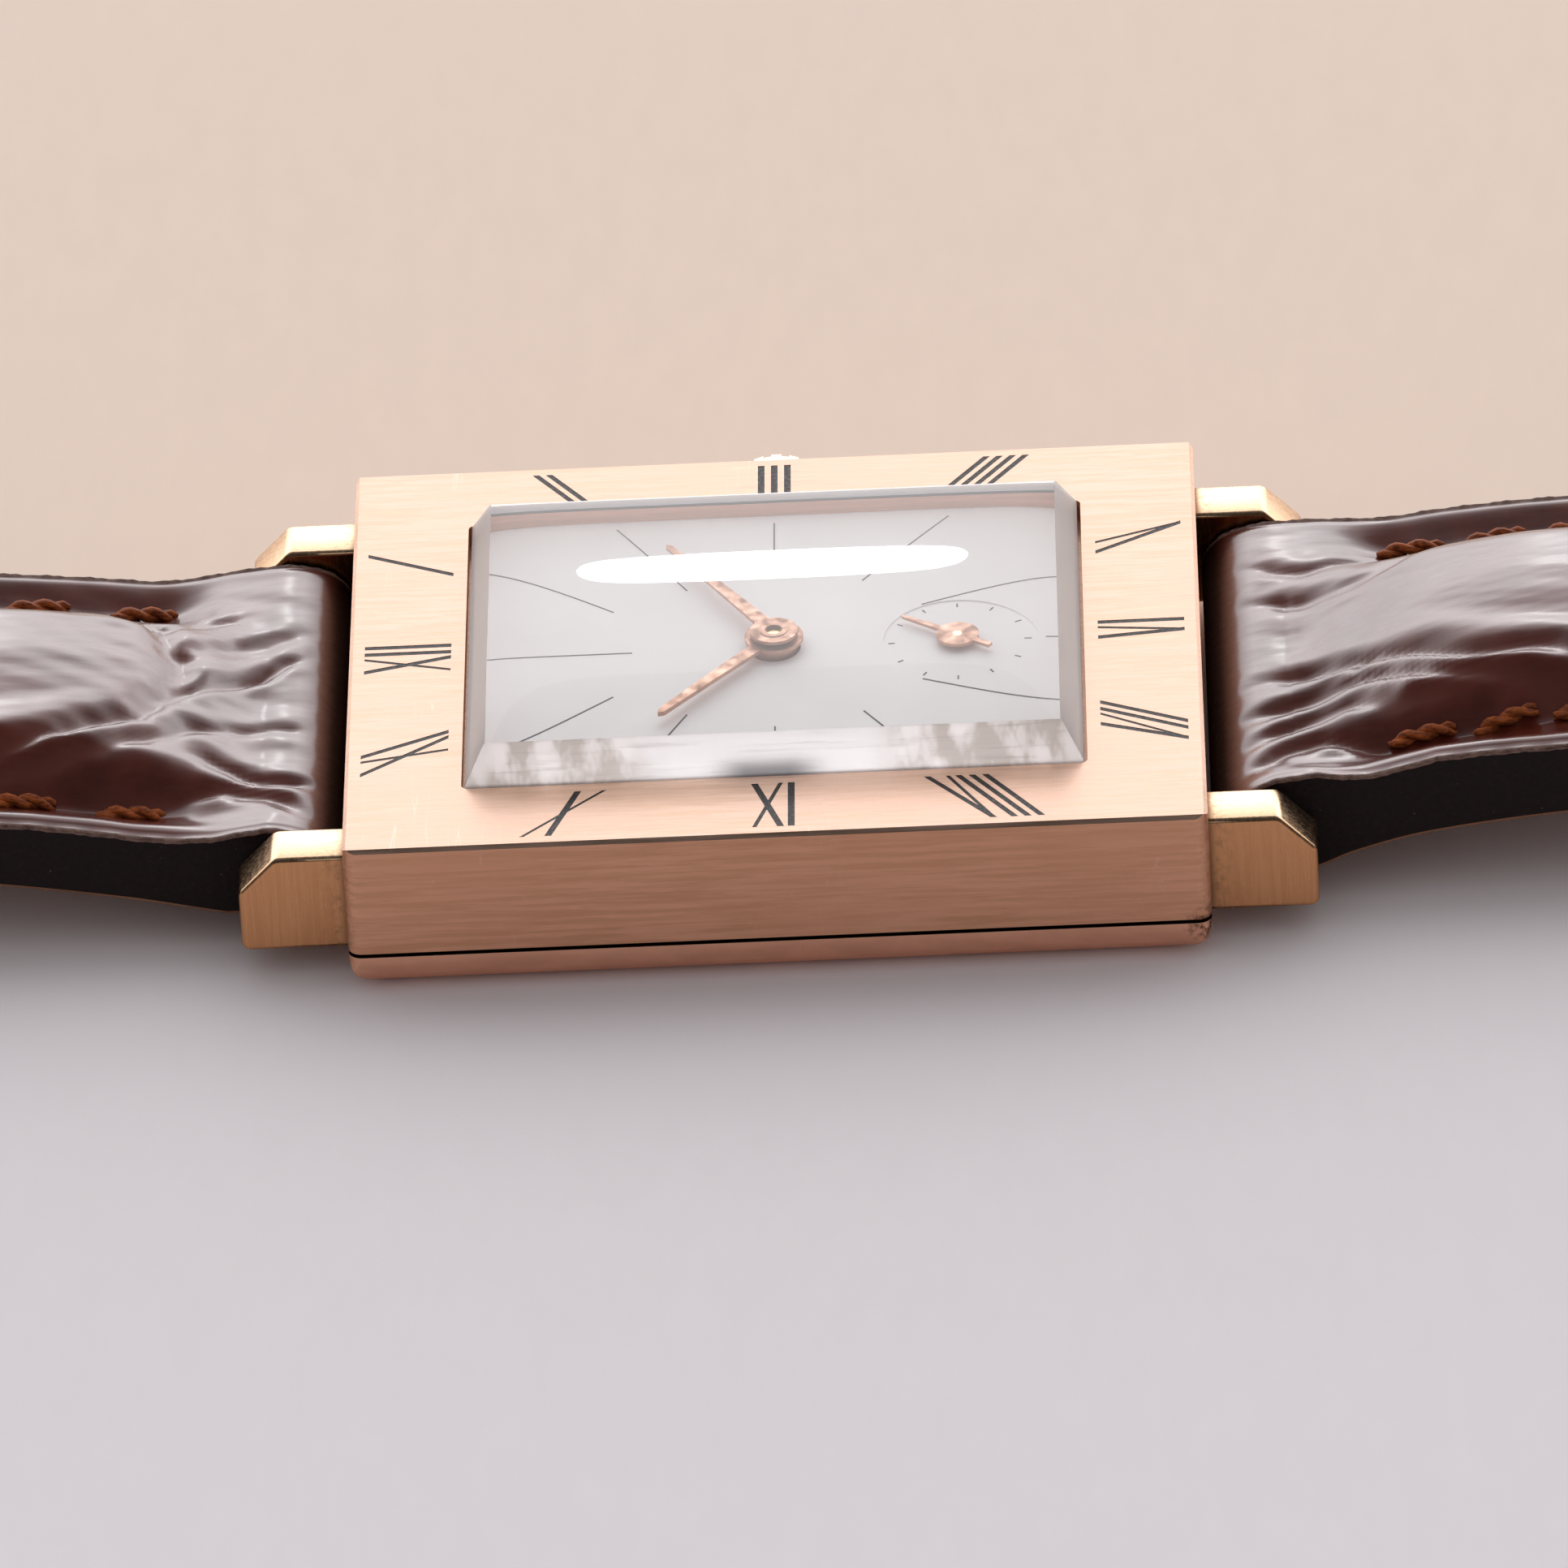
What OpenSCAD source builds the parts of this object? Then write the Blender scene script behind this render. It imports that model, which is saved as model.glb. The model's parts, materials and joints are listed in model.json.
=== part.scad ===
// Square dress watch, hand wound, on an open leather strap. Millimetres.
// The origin is the centre of the case back's flat face. 12 o'clock is -X, 3 o'clock +Y.

/* [Case] */
// Length of the case, 12 to 6 o'clock
case_len = 27.5; // [27.2:0.1:28.5]
// Width of the case, 9 to 3 o'clock
case_wid = 25; // [24.8:0.1:26]
// Height from the case back to the frame's top face
case_high = 5.22; // [5.2:0.02:5.5]
// Width of the frame's flat face round the window
border = 3.75; // [3.6:0.05:3.9]
// Radius of the case back's rounded edge
back_round = 1.28; // [1:0.02:1.3]
// Height of the crystal's bevel above the frame
crystal_bevel = 1.18; // [0.9:0.02:1.4]
// Rise of the crystal's dome above the bevel
crystal_dome = 0.35; // [0.2:0.05:0.6]

/* [Lugs] */
// How far the lugs stand out from the case
lug_out = 3.45; // [3.4:0.05:3.8]
// Width of one lug
lug_wid = 1.95; // [1.9:0.05:2.1]
// Drop of the lug tops below the frame's top face
lug_drop = 0.97; // [0.9:0.01:1.1]

/* [Strap] */
// Width of the strap between the lugs
strap_wid = 18; // [17.8:0.05:18]
// Reach of the buckle side, bar to bar
buckle_side = 75; // [74:0.5:78]
// Reach of the hole side
hole_side = 115; // [112:0.5:120]
// Radius of the strap's holes
hole_r = 0.9; // [0.8:0.05:1.1]

/* [Crown and hands] */
// Radius of the crown
crown_r = 1.9; // [1.7:0.05:1.9]
// Length of the crown
crown_len = 2.9; // [2.2:0.1:3.2]
// Clock angle of the minute hand, in degrees
minute_angle = 59.5; // [0:0.5:360]
// Clock angle of the hour hand
hour_angle = 311; // [0:0.5:360]
// Clock angle of the small seconds hand
seconds_angle = 34.8; // [0:0.2:360]

/* [Hidden] */
$fn = 48;
e = 0.02;
running = 0.03;

// Case levels
wall = 1.3;
z_floor = 0.38;
z_seam = 1.32;
seam_gap = 0.12;
seam_deep = 0.3;
z_dial = 3.45;
dial_thick = 0.4;
z_dial_top = z_dial + dial_thick;
z_seconds = z_dial_top + 0.11;
z_hour = z_dial_top + 0.25;
z_minute = z_dial_top + 0.43;
z_ledge = 4.5;
ledge = 0.35;
cav_len = case_len - 2 * wall;
cav_wid = case_wid - 2 * wall;
win_len = case_len - 2 * border;
win_wid = case_wid - 2 * border;
crystal_gap = 0.12;
edge_ease = 0.12;
side_r = 0.45;
groove_deep = 0.06;
stem_z = 1.95;
stem_r = 0.4;
lip_gap = 0.03;
lip_top = 1.9;
lip_wall = 0.55;

// Spring bars and lugs
bar_x = case_len / 2 + 2.05;
bar_z = 2.6;
bar_r = 0.75;
tip_r = 0.4;
lug_gap = 18.3;
lug_top = case_high - lug_drop;
lug_low = 0.95;
lug_cut = 1.2;
lug_in = lug_gap / 2;

// Strap: reach, underside, edge thickness, crown, half width, all from the bar
hw = strap_wid / 2;
loop_r = 1.8;
end_z = 2;
end_r = 1;
S12 = [[0, 0.8, 3.6, 0, hw], [1.2, 0.87, 3.05, 0.1, hw], [2.6, 1.15, 2.35, 0.75, hw],
  [5, 1.62, 2.32, 1.5, hw - 0.1], [9, 2.2, 2.25, 1.85, hw - 0.25],
  [16, 2.95, 2.2, 1.6, hw - 0.5], [25, 3, 2.1, 1.1, hw - 0.65],
  [35, 2.2, 2.05, 0.7, hw - 0.75], [44, 1.25, 2, 0.4, hw - 0.85],
  [50, 1, 2, 0.25, hw - 0.9], [54, 1, 2, 0.2, hw - 0.95], [66, 1, 2, 0.15, hw - 1],
  [buckle_side - 3, 1, 2, 0.1, hw - 1], [buckle_side, 1, 2, 0, hw - 1]];
T6 = hole_side;
S6 = [[0, 0.8, 3.6, 0, hw], [1.2, 0.95, 3.05, 0.1, hw], [2.6, 1.5, 2.4, 0.7, hw],
  [5, 2.05, 2.4, 1.5, hw - 0.1], [9.6, 2.5, 2.4, 1.9, hw - 0.25],
  [18, 2.9, 2.3, 1.7, hw - 0.5], [28, 3.1, 2.2, 1.2, hw - 0.7],
  [40, 2.5, 2.1, 0.8, hw - 0.85], [52, 1.25, 2, 0.5, hw - 0.95],
  [62, 0.3, 2, 0.35, hw - 1], [68, 0, 2, 0.3, hw - 1], [74, 0, 2, 0.25, hw - 1],
  [T6 - 15, 0, 1.95, 0.15, hw - 1], [T6 - 11, 0, 1.9, 0.1, hw - 1.15],
  [T6 - 7, 0, 1.85, 0.08, hw - 2], [T6 - 4, 0, 1.8, 0.05, hw - 3.4],
  [T6 - 1.8, 0, 1.8, 0.03, hw - 5.2], [T6 - 0.5, 0, 1.8, 0, hw - 7.2],
  [T6, 0, 1.8, 0, hw - 8.2]];
N12 = 34;
N6 = 46;

// Buckle and keepers, as reach from the bar
keep_fix = 63;
keep_slide = 56;
keep_long = 4.5;
keep_in = 16.9;
keep_wall = 0.95;
keep_top = 5.35;
bb_r = 0.5;
bb_x = -(bar_x + buckle_side);
frame_in = 17.3;
frame_out = 19.9;

// Train: centres, teeth and modules
barrel_at = [-4.3, 2.45];
third_at = [3.234, 2.438];
fourth_at = [5.9, 0];
escape_at = [4.82, -2.885];
pallet_at = [2.78, -3.967];
balance_at = [-0.3, -5.6];
crown_wheel_at = [0, 6];
minute_at = [0, 2.4];
setting_at = [0, 5.1];
click_at = [-8, 4.7];
lever_at = [2.6, 8.2];
yoke_at = [-3.2, 8.3];
plate_r = 10.2;
flange_r = 10.5;
seat_wide = 0.5;
bridge_r = 10;
z_bridge = 0.45;
z_bridge_top = 0.9;
z_plate = 1.75;
z_plate_top = 2.95;
z_flange = 2.75;
z_barrel_ceiling = 2.2;
z_escape_ceiling = 2.15;
z_motion = 2.4;
z_keyless = 2.55;
jewel_r = 0.42;
screw_r = 0.2;
head_r = 0.45;

// Phase of a gear of nb teeth that meshes with one of na teeth and phase pa
function mesh_phase(na, pa, th, nb) = th + 180 - (0.5 - (th - pa) * na / 360) * 360 / nb;
function dir(a, b) = atan2(b[1] - a[1], b[0] - a[0]);
ph_centre = 0;
ph_centre_p = 0;
ph_barrel = mesh_phase(10, ph_centre_p, dir([0, 0], barrel_at), 80);
ph_third_p = mesh_phase(80, ph_centre, dir([0, 0], third_at), 10);
ph_third = 0;
ph_fourth_p = mesh_phase(75, ph_third, dir(third_at, fourth_at), 10);
ph_fourth = 0;
ph_escape_p = mesh_phase(80, ph_fourth, dir(fourth_at, escape_at), 8);
ph_escape = dir(escape_at, pallet_at) + 30;
ph_minute = mesh_phase(12, 0, 90, 36);
ph_hour = mesh_phase(10, 0, -90, 40);
ph_setting = mesh_phase(36, ph_minute, 90, 18);
ph_ratchet = mesh_phase(36, 0, dir(crown_wheel_at, barrel_at), 57);

// Outline of a wheel with pointed teeth, and of a pinion with blunt leaves
function wheel_pts(n, m, ph) = [for (i = [0:2 * n - 1])
  let (a = ph + i * 180 / n, r = n * m / 2 + (i % 2 == 0 ? m : -1.2 * m))
  [r * cos(a), r * sin(a)]];
function leaf_pts(n, m, ph) = [for (i = [0:n - 1]) for (k = [0:3])
  let (f = [-0.3, -0.12, 0.12, 0.3][k], a = ph + (i + f) * 360 / n,
    r = n * m / 2 + (k == 0 || k == 3 ? -1.1 * m : 0.8 * m))
  [r * cos(a), r * sin(a)]];
// Outline of a flat spiral strip
function spiral(r0, r1, turns, t, per) = let (n = turns * per)
  concat([for (i = [0:n]) let (r = r0 + (r1 - r0) * i / n, a = i * 360 / per)
    [r * cos(a), r * sin(a)]],
  [for (i = [n:-1:0]) let (r = r0 + t + (r1 - r0) * i / n, a = i * 360 / per)
    [r * cos(a), r * sin(a)]]);

// Smooth curve through the rows of a table: column k at reach x
function seg(t, x, i = 0) = i >= len(t) - 2 || x < t[i + 1][0] ? i : seg(t, x, i + 1);
function tilt(t, i, k) = let (a = max(i - 1, 0), b = min(i + 1, len(t) - 1))
  (t[b][k] - t[a][k]) / (t[b][0] - t[a][0]);
function along(t, x, k) = let (i = seg(t, x), h = t[i + 1][0] - t[i][0],
    u = (x - t[i][0]) / h, p = tilt(t, i, k) * h, q = tilt(t, i + 1, k) * h)
  (2 * u * u * u - 3 * u * u + 1) * t[i][k] + (u * u * u - 2 * u * u + u) * p
  + (3 * u * u - 2 * u * u * u) * t[i + 1][k] + (u * u * u - u * u) * q;

// One ring of a strap, from the underside's right corner round over the crown
function strap_ring(t, x) = let (low = max(t[len(t) - 1][1], along(t, x, 1)),
    edge = along(t, x, 2), c = max(0, along(t, x, 3)), w = max(0.7, along(t, x, 4)),
    s = min(1, w / 5))
  [[w - 0.25 * s, low], [w, low + 0.3], [w, low + edge - 0.3],
   [w - 0.3 * s, low + edge], [w - 1.9 * s, low + edge + 0.1 * c],
   [w - 3.1 * s, low + edge + 0.52 * c], [w * 0.32, low + edge + 0.93 * c],
   [0, low + edge + c], [-w * 0.32, low + edge + 0.93 * c],
   [-w + 3.1 * s, low + edge + 0.52 * c], [-w + 1.9 * s, low + edge + 0.1 * c],
   [-w + 0.3 * s, low + edge], [-w, low + edge - 0.3], [-w, low + 0.3],
   [-w + 0.25 * s, low]];
RING = 15;
function reach(t, n, i) = let (u = i / n, top = t[len(t) - 1][0])
  top * (u < 0.24 ? u * 0.5 : 0.12 + (u - 0.24) * 0.88 / 0.76);

// Numerals: strokes as [top, bottom, width] in reading direction
thick = 0.22;
thin = 0.14;
function wide(c) = c == "I" ? 0.43 : c == "V" ? 0.9 : 1.08;
function strokes(c, x) = c == "I" ? [[x, x, thick]]
  : c == "V" ? [[x - 0.33, x, thick], [x + 0.33, x, thin]]
  : [[x - 0.42, x + 0.42, thick], [x + 0.42, x - 0.42, thin]];
function sum_to(s, n) = n <= 0 ? 0 : wide(s[n - 1]) + sum_to(s, n - 1);
function numeral(s) = let (all = sum_to(s, len(s)))
  [for (i = [0:len(s) - 1]) for (k = strokes(s[i], sum_to(s, i) + wide(s[i]) / 2 - all / 2)) k];
NUMERALS = ["XII", "I", "II", "III", "IIII", "V", "VI", "VII", "VIII", "IX", "X", "XI"];
SIDES = [[-1, 0], [-1, 0], [0, 1], [0, 1], [0, 1], [1, 0], [1, 0], [1, 0],
  [0, -1], [0, -1], [0, -1], [-1, 0]];
num_in = 0.45;
num_out = 0.5;

module spin_y(y0, y1, r, x = 0, z = 0) {
  translate([x, y0, z]) rotate([-90, 0, 0]) cylinder(r = r, h = y1 - y0);
}

module disc(at, z0, z1, r) {
  translate([at[0], at[1], z0]) cylinder(r = r, h = z1 - z0);
}

module block(l, w, z0, z1) {
  translate([-l / 2, -w / 2, z0]) cube([l, w, z1 - z0]);
}

module soft_block(l, w, z0, z1, r) {
  block(l - 2 * r, w, z0, z1);
  block(l, w - 2 * r, z0, z1);
  for (sx = [-1, 1])
    for (sy = [-1, 1])
      disc([sx * (l / 2 - r), sy * (w / 2 - r)], z0, z1, r);
}

// A solid whose outline seen from the side is a list of points
module along_y(pts, w) {
  rotate([90, 0, 0]) translate([0, 0, -w / 2]) linear_extrude(height = w) polygon(pts);
}

module along_x(pts, l) {
  rotate([90, 0, 90]) translate([0, 0, -l / 2]) linear_extrude(height = l) polygon(pts);
}

function eased(l) = [[-l / 2, z_seam], [l / 2, z_seam], [l / 2, case_high - edge_ease],
  [l / 2 - edge_ease, case_high], [-l / 2 + edge_ease, case_high],
  [-l / 2, case_high - edge_ease]];

module one_stroke(k, s, z0, z1) {
  n = SIDES[k];
  t = [n[1], -n[0]];
  d = [-cos(30 * k) * case_len, sin(30 * k) * case_wid];
  lean = (d[0] * t[0] + d[1] * t[1]) / (d[0] * n[0] + d[1] * n[1]);
  half = (n[0] == 0 ? case_wid : case_len) / 2;
  near = half - border + num_in;
  far = half - num_out;
  flip = k >= 4 && k <= 8;
  ht = flip ? near : far;
  hb = flip ? far : near;
  q = flip ? -1 : 1;
  a = ht * lean + q * s[0];
  b = hb * lean + q * s[1];
  v = s[2] / 2;
  translate([0, 0, z0]) linear_extrude(height = z1 - z0)
    polygon([n * ht + t * (a - v), n * ht + t * (a + v), n * hb + t * (b + v),
      n * hb + t * (b - v)]);
}

module all_strokes(z0, z1) {
  for (k = [0:11])
    for (s = numeral(NUMERALS[k]))
      one_stroke(k, s, z0, z1);
}

module case_front() {
  color("goldenrod")
  difference() {
    intersection() {
      along_y(eased(case_len), case_wid);
      along_x(eased(case_wid), case_len);
      soft_block(case_len, case_wid, z_seam, case_high, side_r);
    }
    block(cav_len, cav_wid, z_seam - 1, z_dial_top);
    block(win_len - 2 * ledge, win_wid - 2 * ledge, z_dial_top - e, z_ledge + e);
    soft_block(win_len, win_wid, z_ledge, case_high + 1, 0.25);
    difference() {
      block(case_len + 1, case_wid + 1, z_seam - e, z_seam + seam_gap);
      block(case_len - 2 * seam_deep, case_wid - 2 * seam_deep, z_seam - 1, z_seam + 1);
    }
    spin_y(cav_wid / 2 - 1, case_wid / 2 + 1, stem_r + 0.05, 0, stem_z);
    all_strokes(case_high - groove_deep, case_high + 0.2);
  }
}

function round_low(l) = l - 2 * back_round;

module back_side(l, w) {
  translate([0, -w / 2, 0]) {
    translate([-round_low(l) / 2, 0, 0]) cube([round_low(l), w, z_seam]);
    translate([-l / 2, 0, back_round]) cube([l, w, z_seam - back_round]);
    for (s = [-1, 1])
      translate([s * round_low(l) / 2, 0, back_round]) rotate([-90, 0, 0])
        cylinder(r = back_round, h = w);
  }
}

module case_back() {
  lip_l = cav_len - 2 * lip_gap;
  lip_w = cav_wid - 2 * lip_gap;
  color("darkgoldenrod")
  difference() {
    union() {
      intersection() {
        back_side(case_len, case_wid);
        rotate([0, 0, 90]) back_side(case_wid, case_len);
        soft_block(case_len, case_wid, 0, z_seam, side_r);
      }
      block(lip_l, lip_w, z_floor, lip_top);
    }
    block(lip_l - 2 * lip_wall, lip_w - 2 * lip_wall, z_floor, 3);
    translate([-0.8, lip_w / 2 - 1, z_seam]) cube([1.6, 2, 2]);
  }
}

// Points of a low arch from a to -a that rises by h above z
function arch(a, h, z) = [for (i = [0:12]) let (x = a * (1 - i / 6)) [x, z + h * (1 - x * x / a / a)]];
function crystal_side(l, a) = concat([[-l / 2, z_ledge], [l / 2, z_ledge],
  [l / 2, case_high + 0.03]], arch(a, crystal_dome, case_high + crystal_bevel),
  [[-l / 2, case_high + 0.03]]);

module crystal() {
  l = win_len - 2 * crystal_gap;
  w = win_wid - 2 * crystal_gap;
  inset = crystal_bevel * 0.55;
  color("lightcyan", 0.4)
  intersection() {
    along_y(crystal_side(l, l / 2 - inset), w);
    along_x(crystal_side(w, w / 2 - inset), l);
  }
}

module lug(sx, sy) {
  x0 = case_len / 2;
  x1 = x0 + lug_out;
  k = 0.14;
  color("gold")
  scale_to(sx)
  difference() {
    translate([0, sy * (lug_in + lug_wid / 2), 0])
      along_y([[x0 + 0.05, lug_low], [x1 - 0.25, lug_low], [x1 - 0.07, lug_low + 0.07],
        [x1, lug_low + 0.25], [x1, lug_top - lug_cut - 0.1],
        [x1 - 0.03, lug_top - lug_cut + 0.02], [x1 - lug_cut - 0.02, lug_top - 0.03],
        [x1 - lug_cut - k, lug_top], [x0, lug_top], [x0, z_seam + seam_gap],
        [x0 + 0.05, z_seam + seam_gap]], lug_wid);
    spin_y(sy > 0 ? lug_in - 1 : -lug_in - 1.2, sy > 0 ? lug_in + 1.2 : -lug_in + 1,
      tip_r + 0.05, bar_x, bar_z);
  }
}

module scale_to(sx) {
  if (sx < 0) mirror([1, 0, 0]) children();
  else children();
}

module lug_1() lug(-1, 1);
module lug_4() lug(1, 1);
module lug_7() lug(1, -1);
module lug_10() lug(-1, -1);

module numeral_inlay() {
  color("black") all_strokes(case_high - groove_deep, case_high - 0.01);
}

module crown() {
  y0 = case_wid / 2 + 0.15;
  y1 = y0 + crown_len;
  color("gold")
  difference() {
    union() {
      spin_y(y0 + 0.25, y1 - 0.2, crown_r - 0.1, 0, stem_z);
      spin_y(y0, y0 + 0.25, crown_r - 0.45, 0, stem_z);
      spin_y(y1 - 0.2, y1, crown_r - 0.3, 0, stem_z);
      for (i = [0:19])
        translate([0, 0, stem_z]) rotate([0, i * 18, 0])
          translate([crown_r - 0.3, y0 + 0.3, -0.16]) cube([0.28, crown_len - 0.55, 0.32]);
    }
    spin_y(y0 - 1, y0 + 1.6, stem_r, 0, stem_z);
  }
}

module winding_stem() {
  color("silver") {
    spin_y(5.3, 5.7, 0.24, 0, stem_z);
    spin_y(5.7, 9, stem_r, 0, stem_z);
    spin_y(9, 9.3, 0.25, 0, stem_z);
    spin_y(9.3, case_wid / 2 + 1.7, stem_r, 0, stem_z);
  }
}

module movement_ring() {
  color("lightgray")
  difference() {
    block(cav_len - 1.4, cav_wid - 1.4, z_floor, z_dial);
    disc([0, 0], 0, 4, plate_r);
    disc([0, 0], z_flange, 4, flange_r);
    spin_y(8, 13, 0.65, 0, stem_z);
  }
}

module dial() {
  color("whitesmoke")
  difference() {
    block(cav_len - 0.3, cav_wid - 0.3, z_dial, z_dial_top);
    disc([0, 0], 2, 4, 0.85);
    disc(fourth_at, 2, 4, 0.3);
    disc(fourth_at, z_dial_top - 0.04, 4, 2.4);
  }
}

// A hand in the XY plane that points along +X: root, tip, tail
module blade(z, t, long, w0, w1, boss, bore) {
  translate([0, 0, z])
  difference() {
    union() {
      linear_extrude(height = t)
        polygon([[0, -w0 / 2], [long * 0.97, -w1 / 2], [long, 0], [long * 0.97, w1 / 2],
          [0, w0 / 2]]);
      cylinder(r = boss, h = t);
    }
    translate([0, 0, -1]) cylinder(r = bore, h = 3);
  }
}

module hour_hand() {
  color("gold") rotate([0, 0, 180 - hour_angle]) blade(z_hour, 0.1, 5.7, 0.5, 0.26, 0.95, 0.75);
}

module minute_hand() {
  color("gold")
  rotate([0, 0, 180 - minute_angle]) blade(z_minute, 0.1, 6.9, 0.55, 0.24, 0.78, 0.45);
}

module seconds_hand() {
  color("gold")
  translate([fourth_at[0], fourth_at[1], 0]) rotate([0, 0, 180 - seconds_angle]) {
    blade(z_seconds, 0.08, 2.17, 0.26, 0.12, 0.68, 0.14);
    translate([-1.25, -0.1, z_seconds]) cube([0.7, 0.2, 0.08]);
  }
}

TRAIN_FEET = [[8.4, 3.8], [7.3, -5.2], [5.3, 6.3]];
BARREL_FEET = [[-8.75, -2], [-4.4, 8.1], [3.2, 8]];
COCK_FOOT = [-6.6, -6];
foot_r = 0.65;

// Pallet bridge ends lie across the fork's line
p_dir = dir(pallet_at, balance_at);
PALLET_FEET = [pallet_at + 1.9 * [cos(p_dir + 90), sin(p_dir + 90)],
  pallet_at + 1.9 * [cos(p_dir - 90), sin(p_dir - 90)]];

module bar_between(a, b, w, z0, z1) {
  l = norm(b - a);
  translate([a[0], a[1], z0]) rotate([0, 0, dir(a, b)])
    translate([0, -w / 2, 0]) cube([l, w, z1 - z0]);
}

module mainplate() {
  color("tan")
  difference() {
    union() {
      difference() {
        union() {
          disc([0, 0], z_plate, z_flange, plate_r);
          disc([0, 0], z_flange, z_plate_top, flange_r);
          difference() {
            disc([0, 0], z_flange, z_dial, flange_r);
            disc([0, 0], 1, 4, flange_r - seat_wide);
          }
        }
        disc(barrel_at, 1, z_barrel_ceiling, 4.35);
        disc(escape_at, 1, z_escape_ceiling, 2.2);
        disc(pallet_at, 1, z_escape_ceiling, 2.55);
        disc(balance_at, 1, z_escape_ceiling, 1.2);
        bar_between(pallet_at, balance_at, 1.6, 1, z_escape_ceiling);
        translate([-1.25, 6.1, 1]) cube([2.5, 2.65, 3]);
        disc([0, 0], z_motion, 4, 2.12);
        disc(minute_at, z_motion, 4, 1.98);
        disc(setting_at, z_motion, 4, 1.1);
        translate([-1, 5.2, z_motion]) cube([2, 1.3, 1]);
        disc(lever_at, z_keyless, 4, 0.7);
        disc(yoke_at, z_keyless, 4, 0.62);
        translate([0, 0, z_keyless]) linear_extrude(height = 1)
          polygon([[2.7, 7.5], [-0.5, 8.4], [-0.5, 10], [0.9, 10.05], [3, 8.8]]);
        translate([0, 0, z_keyless]) linear_extrude(height = 1)
          polygon([[-3.5, 7.7], [-1.2, 6.3], [1.2, 6.3], [1.2, 8.2], [-1.2, 8.2],
            [-3, 8.9]]);
        translate([-0.25, 8.8, 2]) cube([0.75, 1.15, 1]);
      }
      disc(lever_at, z_keyless - 0.1, 2.85, 0.25);
      disc(yoke_at, z_keyless - 0.1, 2.85, 0.25);
      disc(minute_at, z_motion - 0.1, 2.9, 0.2);
      disc(setting_at, z_motion - 0.1, 2.65, 0.25);
    }
    spin_y(8.7, 10.9, stem_r + running, 0, stem_z);
    spin_y(5.1, 6.5, stem_r + running, 0, stem_z);
    disc([0, 0], 1, 4, 0.31);
    disc([0, 0], 1, 2.15, 0.55);
    disc(third_at, 1, 2.05, jewel_r);
    disc(fourth_at, 1, 2.15, jewel_r);
    disc(fourth_at, 1, 4, 0.2);
    disc(escape_at, 1, 2.45, jewel_r);
    disc(pallet_at, 1, 2.45, jewel_r);
    disc(balance_at, 1, 2.45, jewel_r);
    disc(barrel_at, 1, 2.65, 0.53);
    for (p = concat(TRAIN_FEET, BARREL_FEET, [COCK_FOOT]))
      disc(p, 1, 2.3, screw_r);
  }
}

module screw_holes(list) {
  for (p = list) {
    disc(p, 0, z_bridge + 0.17, head_r);
    disc(p, 0, 3, screw_r);
  }
}

module barrel_bridge() {
  color("silver")
  difference() {
    union() {
      difference() {
        union() {
          intersection() {
            disc([0, 0], z_bridge, z_bridge_top, bridge_r);
            translate([0, 0, z_bridge]) linear_extrude(height = 1)
              polygon([[1, -1.4], [1, 4.2], [2.2, 6.1], [4.4, 7.4], [5.4, 10], [-10, 10],
                [-10, -3.2], [-6.5, -3.6], [-3.2, -1.6]]);
          }
          difference() {
            disc(crown_wheel_at, z_bridge_top - 0.2, 1.2, 2.6);
            disc([0, 0], 0.94, 2, 3.85);
          }
          for (p = BARREL_FEET)
            disc(p, z_bridge_top - e, z_plate, foot_r);
          translate([-1.4, 8.85, z_bridge_top - e]) cube([2.8, 0.95, z_plate + e - z_bridge_top]);
        }
        disc(barrel_at, 0, 0.76, 3.62);
        disc(crown_wheel_at, 0, 1.08, 2.35);
        disc(click_at, 0, 0.76, 0.95);
        translate([0, 0, 0]) linear_extrude(height = 0.76)
          polygon([click_at + [-0.9, -0.4], click_at + [0.9, 0.4], [-6.6, 2.6], [-8.6, 1.2],
            [-9.35, 1.4], [-9.35, 3]]);
      }
      disc(crown_wheel_at, 0.74, 1.2, 1.5);
      disc(crown_wheel_at, 0.5, 1.2, 0.4);
      disc(click_at, 0.5, 0.8, 0.2);
    }
    spin_y(6, 8.75, 1, 0, stem_z);
    spin_y(8.7, 10.9, stem_r + running, 0, stem_z);
    disc(barrel_at, 0, 2, 0.53);
    disc([0, 0], 0, 2, 0.55);
    screw_holes(BARREL_FEET);
  }
}

module train_bridge() {
  color("silver")
  difference() {
    union() {
      intersection() {
        disc([0, 0], z_bridge, z_bridge_top, bridge_r);
        translate([0, 0, z_bridge]) linear_extrude(height = 1)
          polygon([[1.2, -1.5], [1.2, 4.1], [2.4, 5.9], [4.7, 7.2], [5.7, 10], [10, 10],
            [10, -10], [6.4, -7.4], [4.4, -5.2], [3.6, -2.6]]);
      }
      for (p = TRAIN_FEET)
        disc(p, z_bridge_top - e, z_plate, foot_r);
    }
    for (p = [third_at, fourth_at, escape_at])
      disc(p, 0, 2, jewel_r);
    disc(crown_wheel_at, 0, 2, 2.75);
    screw_holes(TRAIN_FEET);
  }
}

module pallet_bridge() {
  color("silver")
  difference() {
    union() {
      bar_between(PALLET_FEET[0], PALLET_FEET[1], 0.95, 1.48, 1.64);
      for (p = PALLET_FEET)
        disc(p, 1.48, z_escape_ceiling, 0.42);
    }
    disc(pallet_at, 1, 2, 0.3);
  }
}

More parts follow.
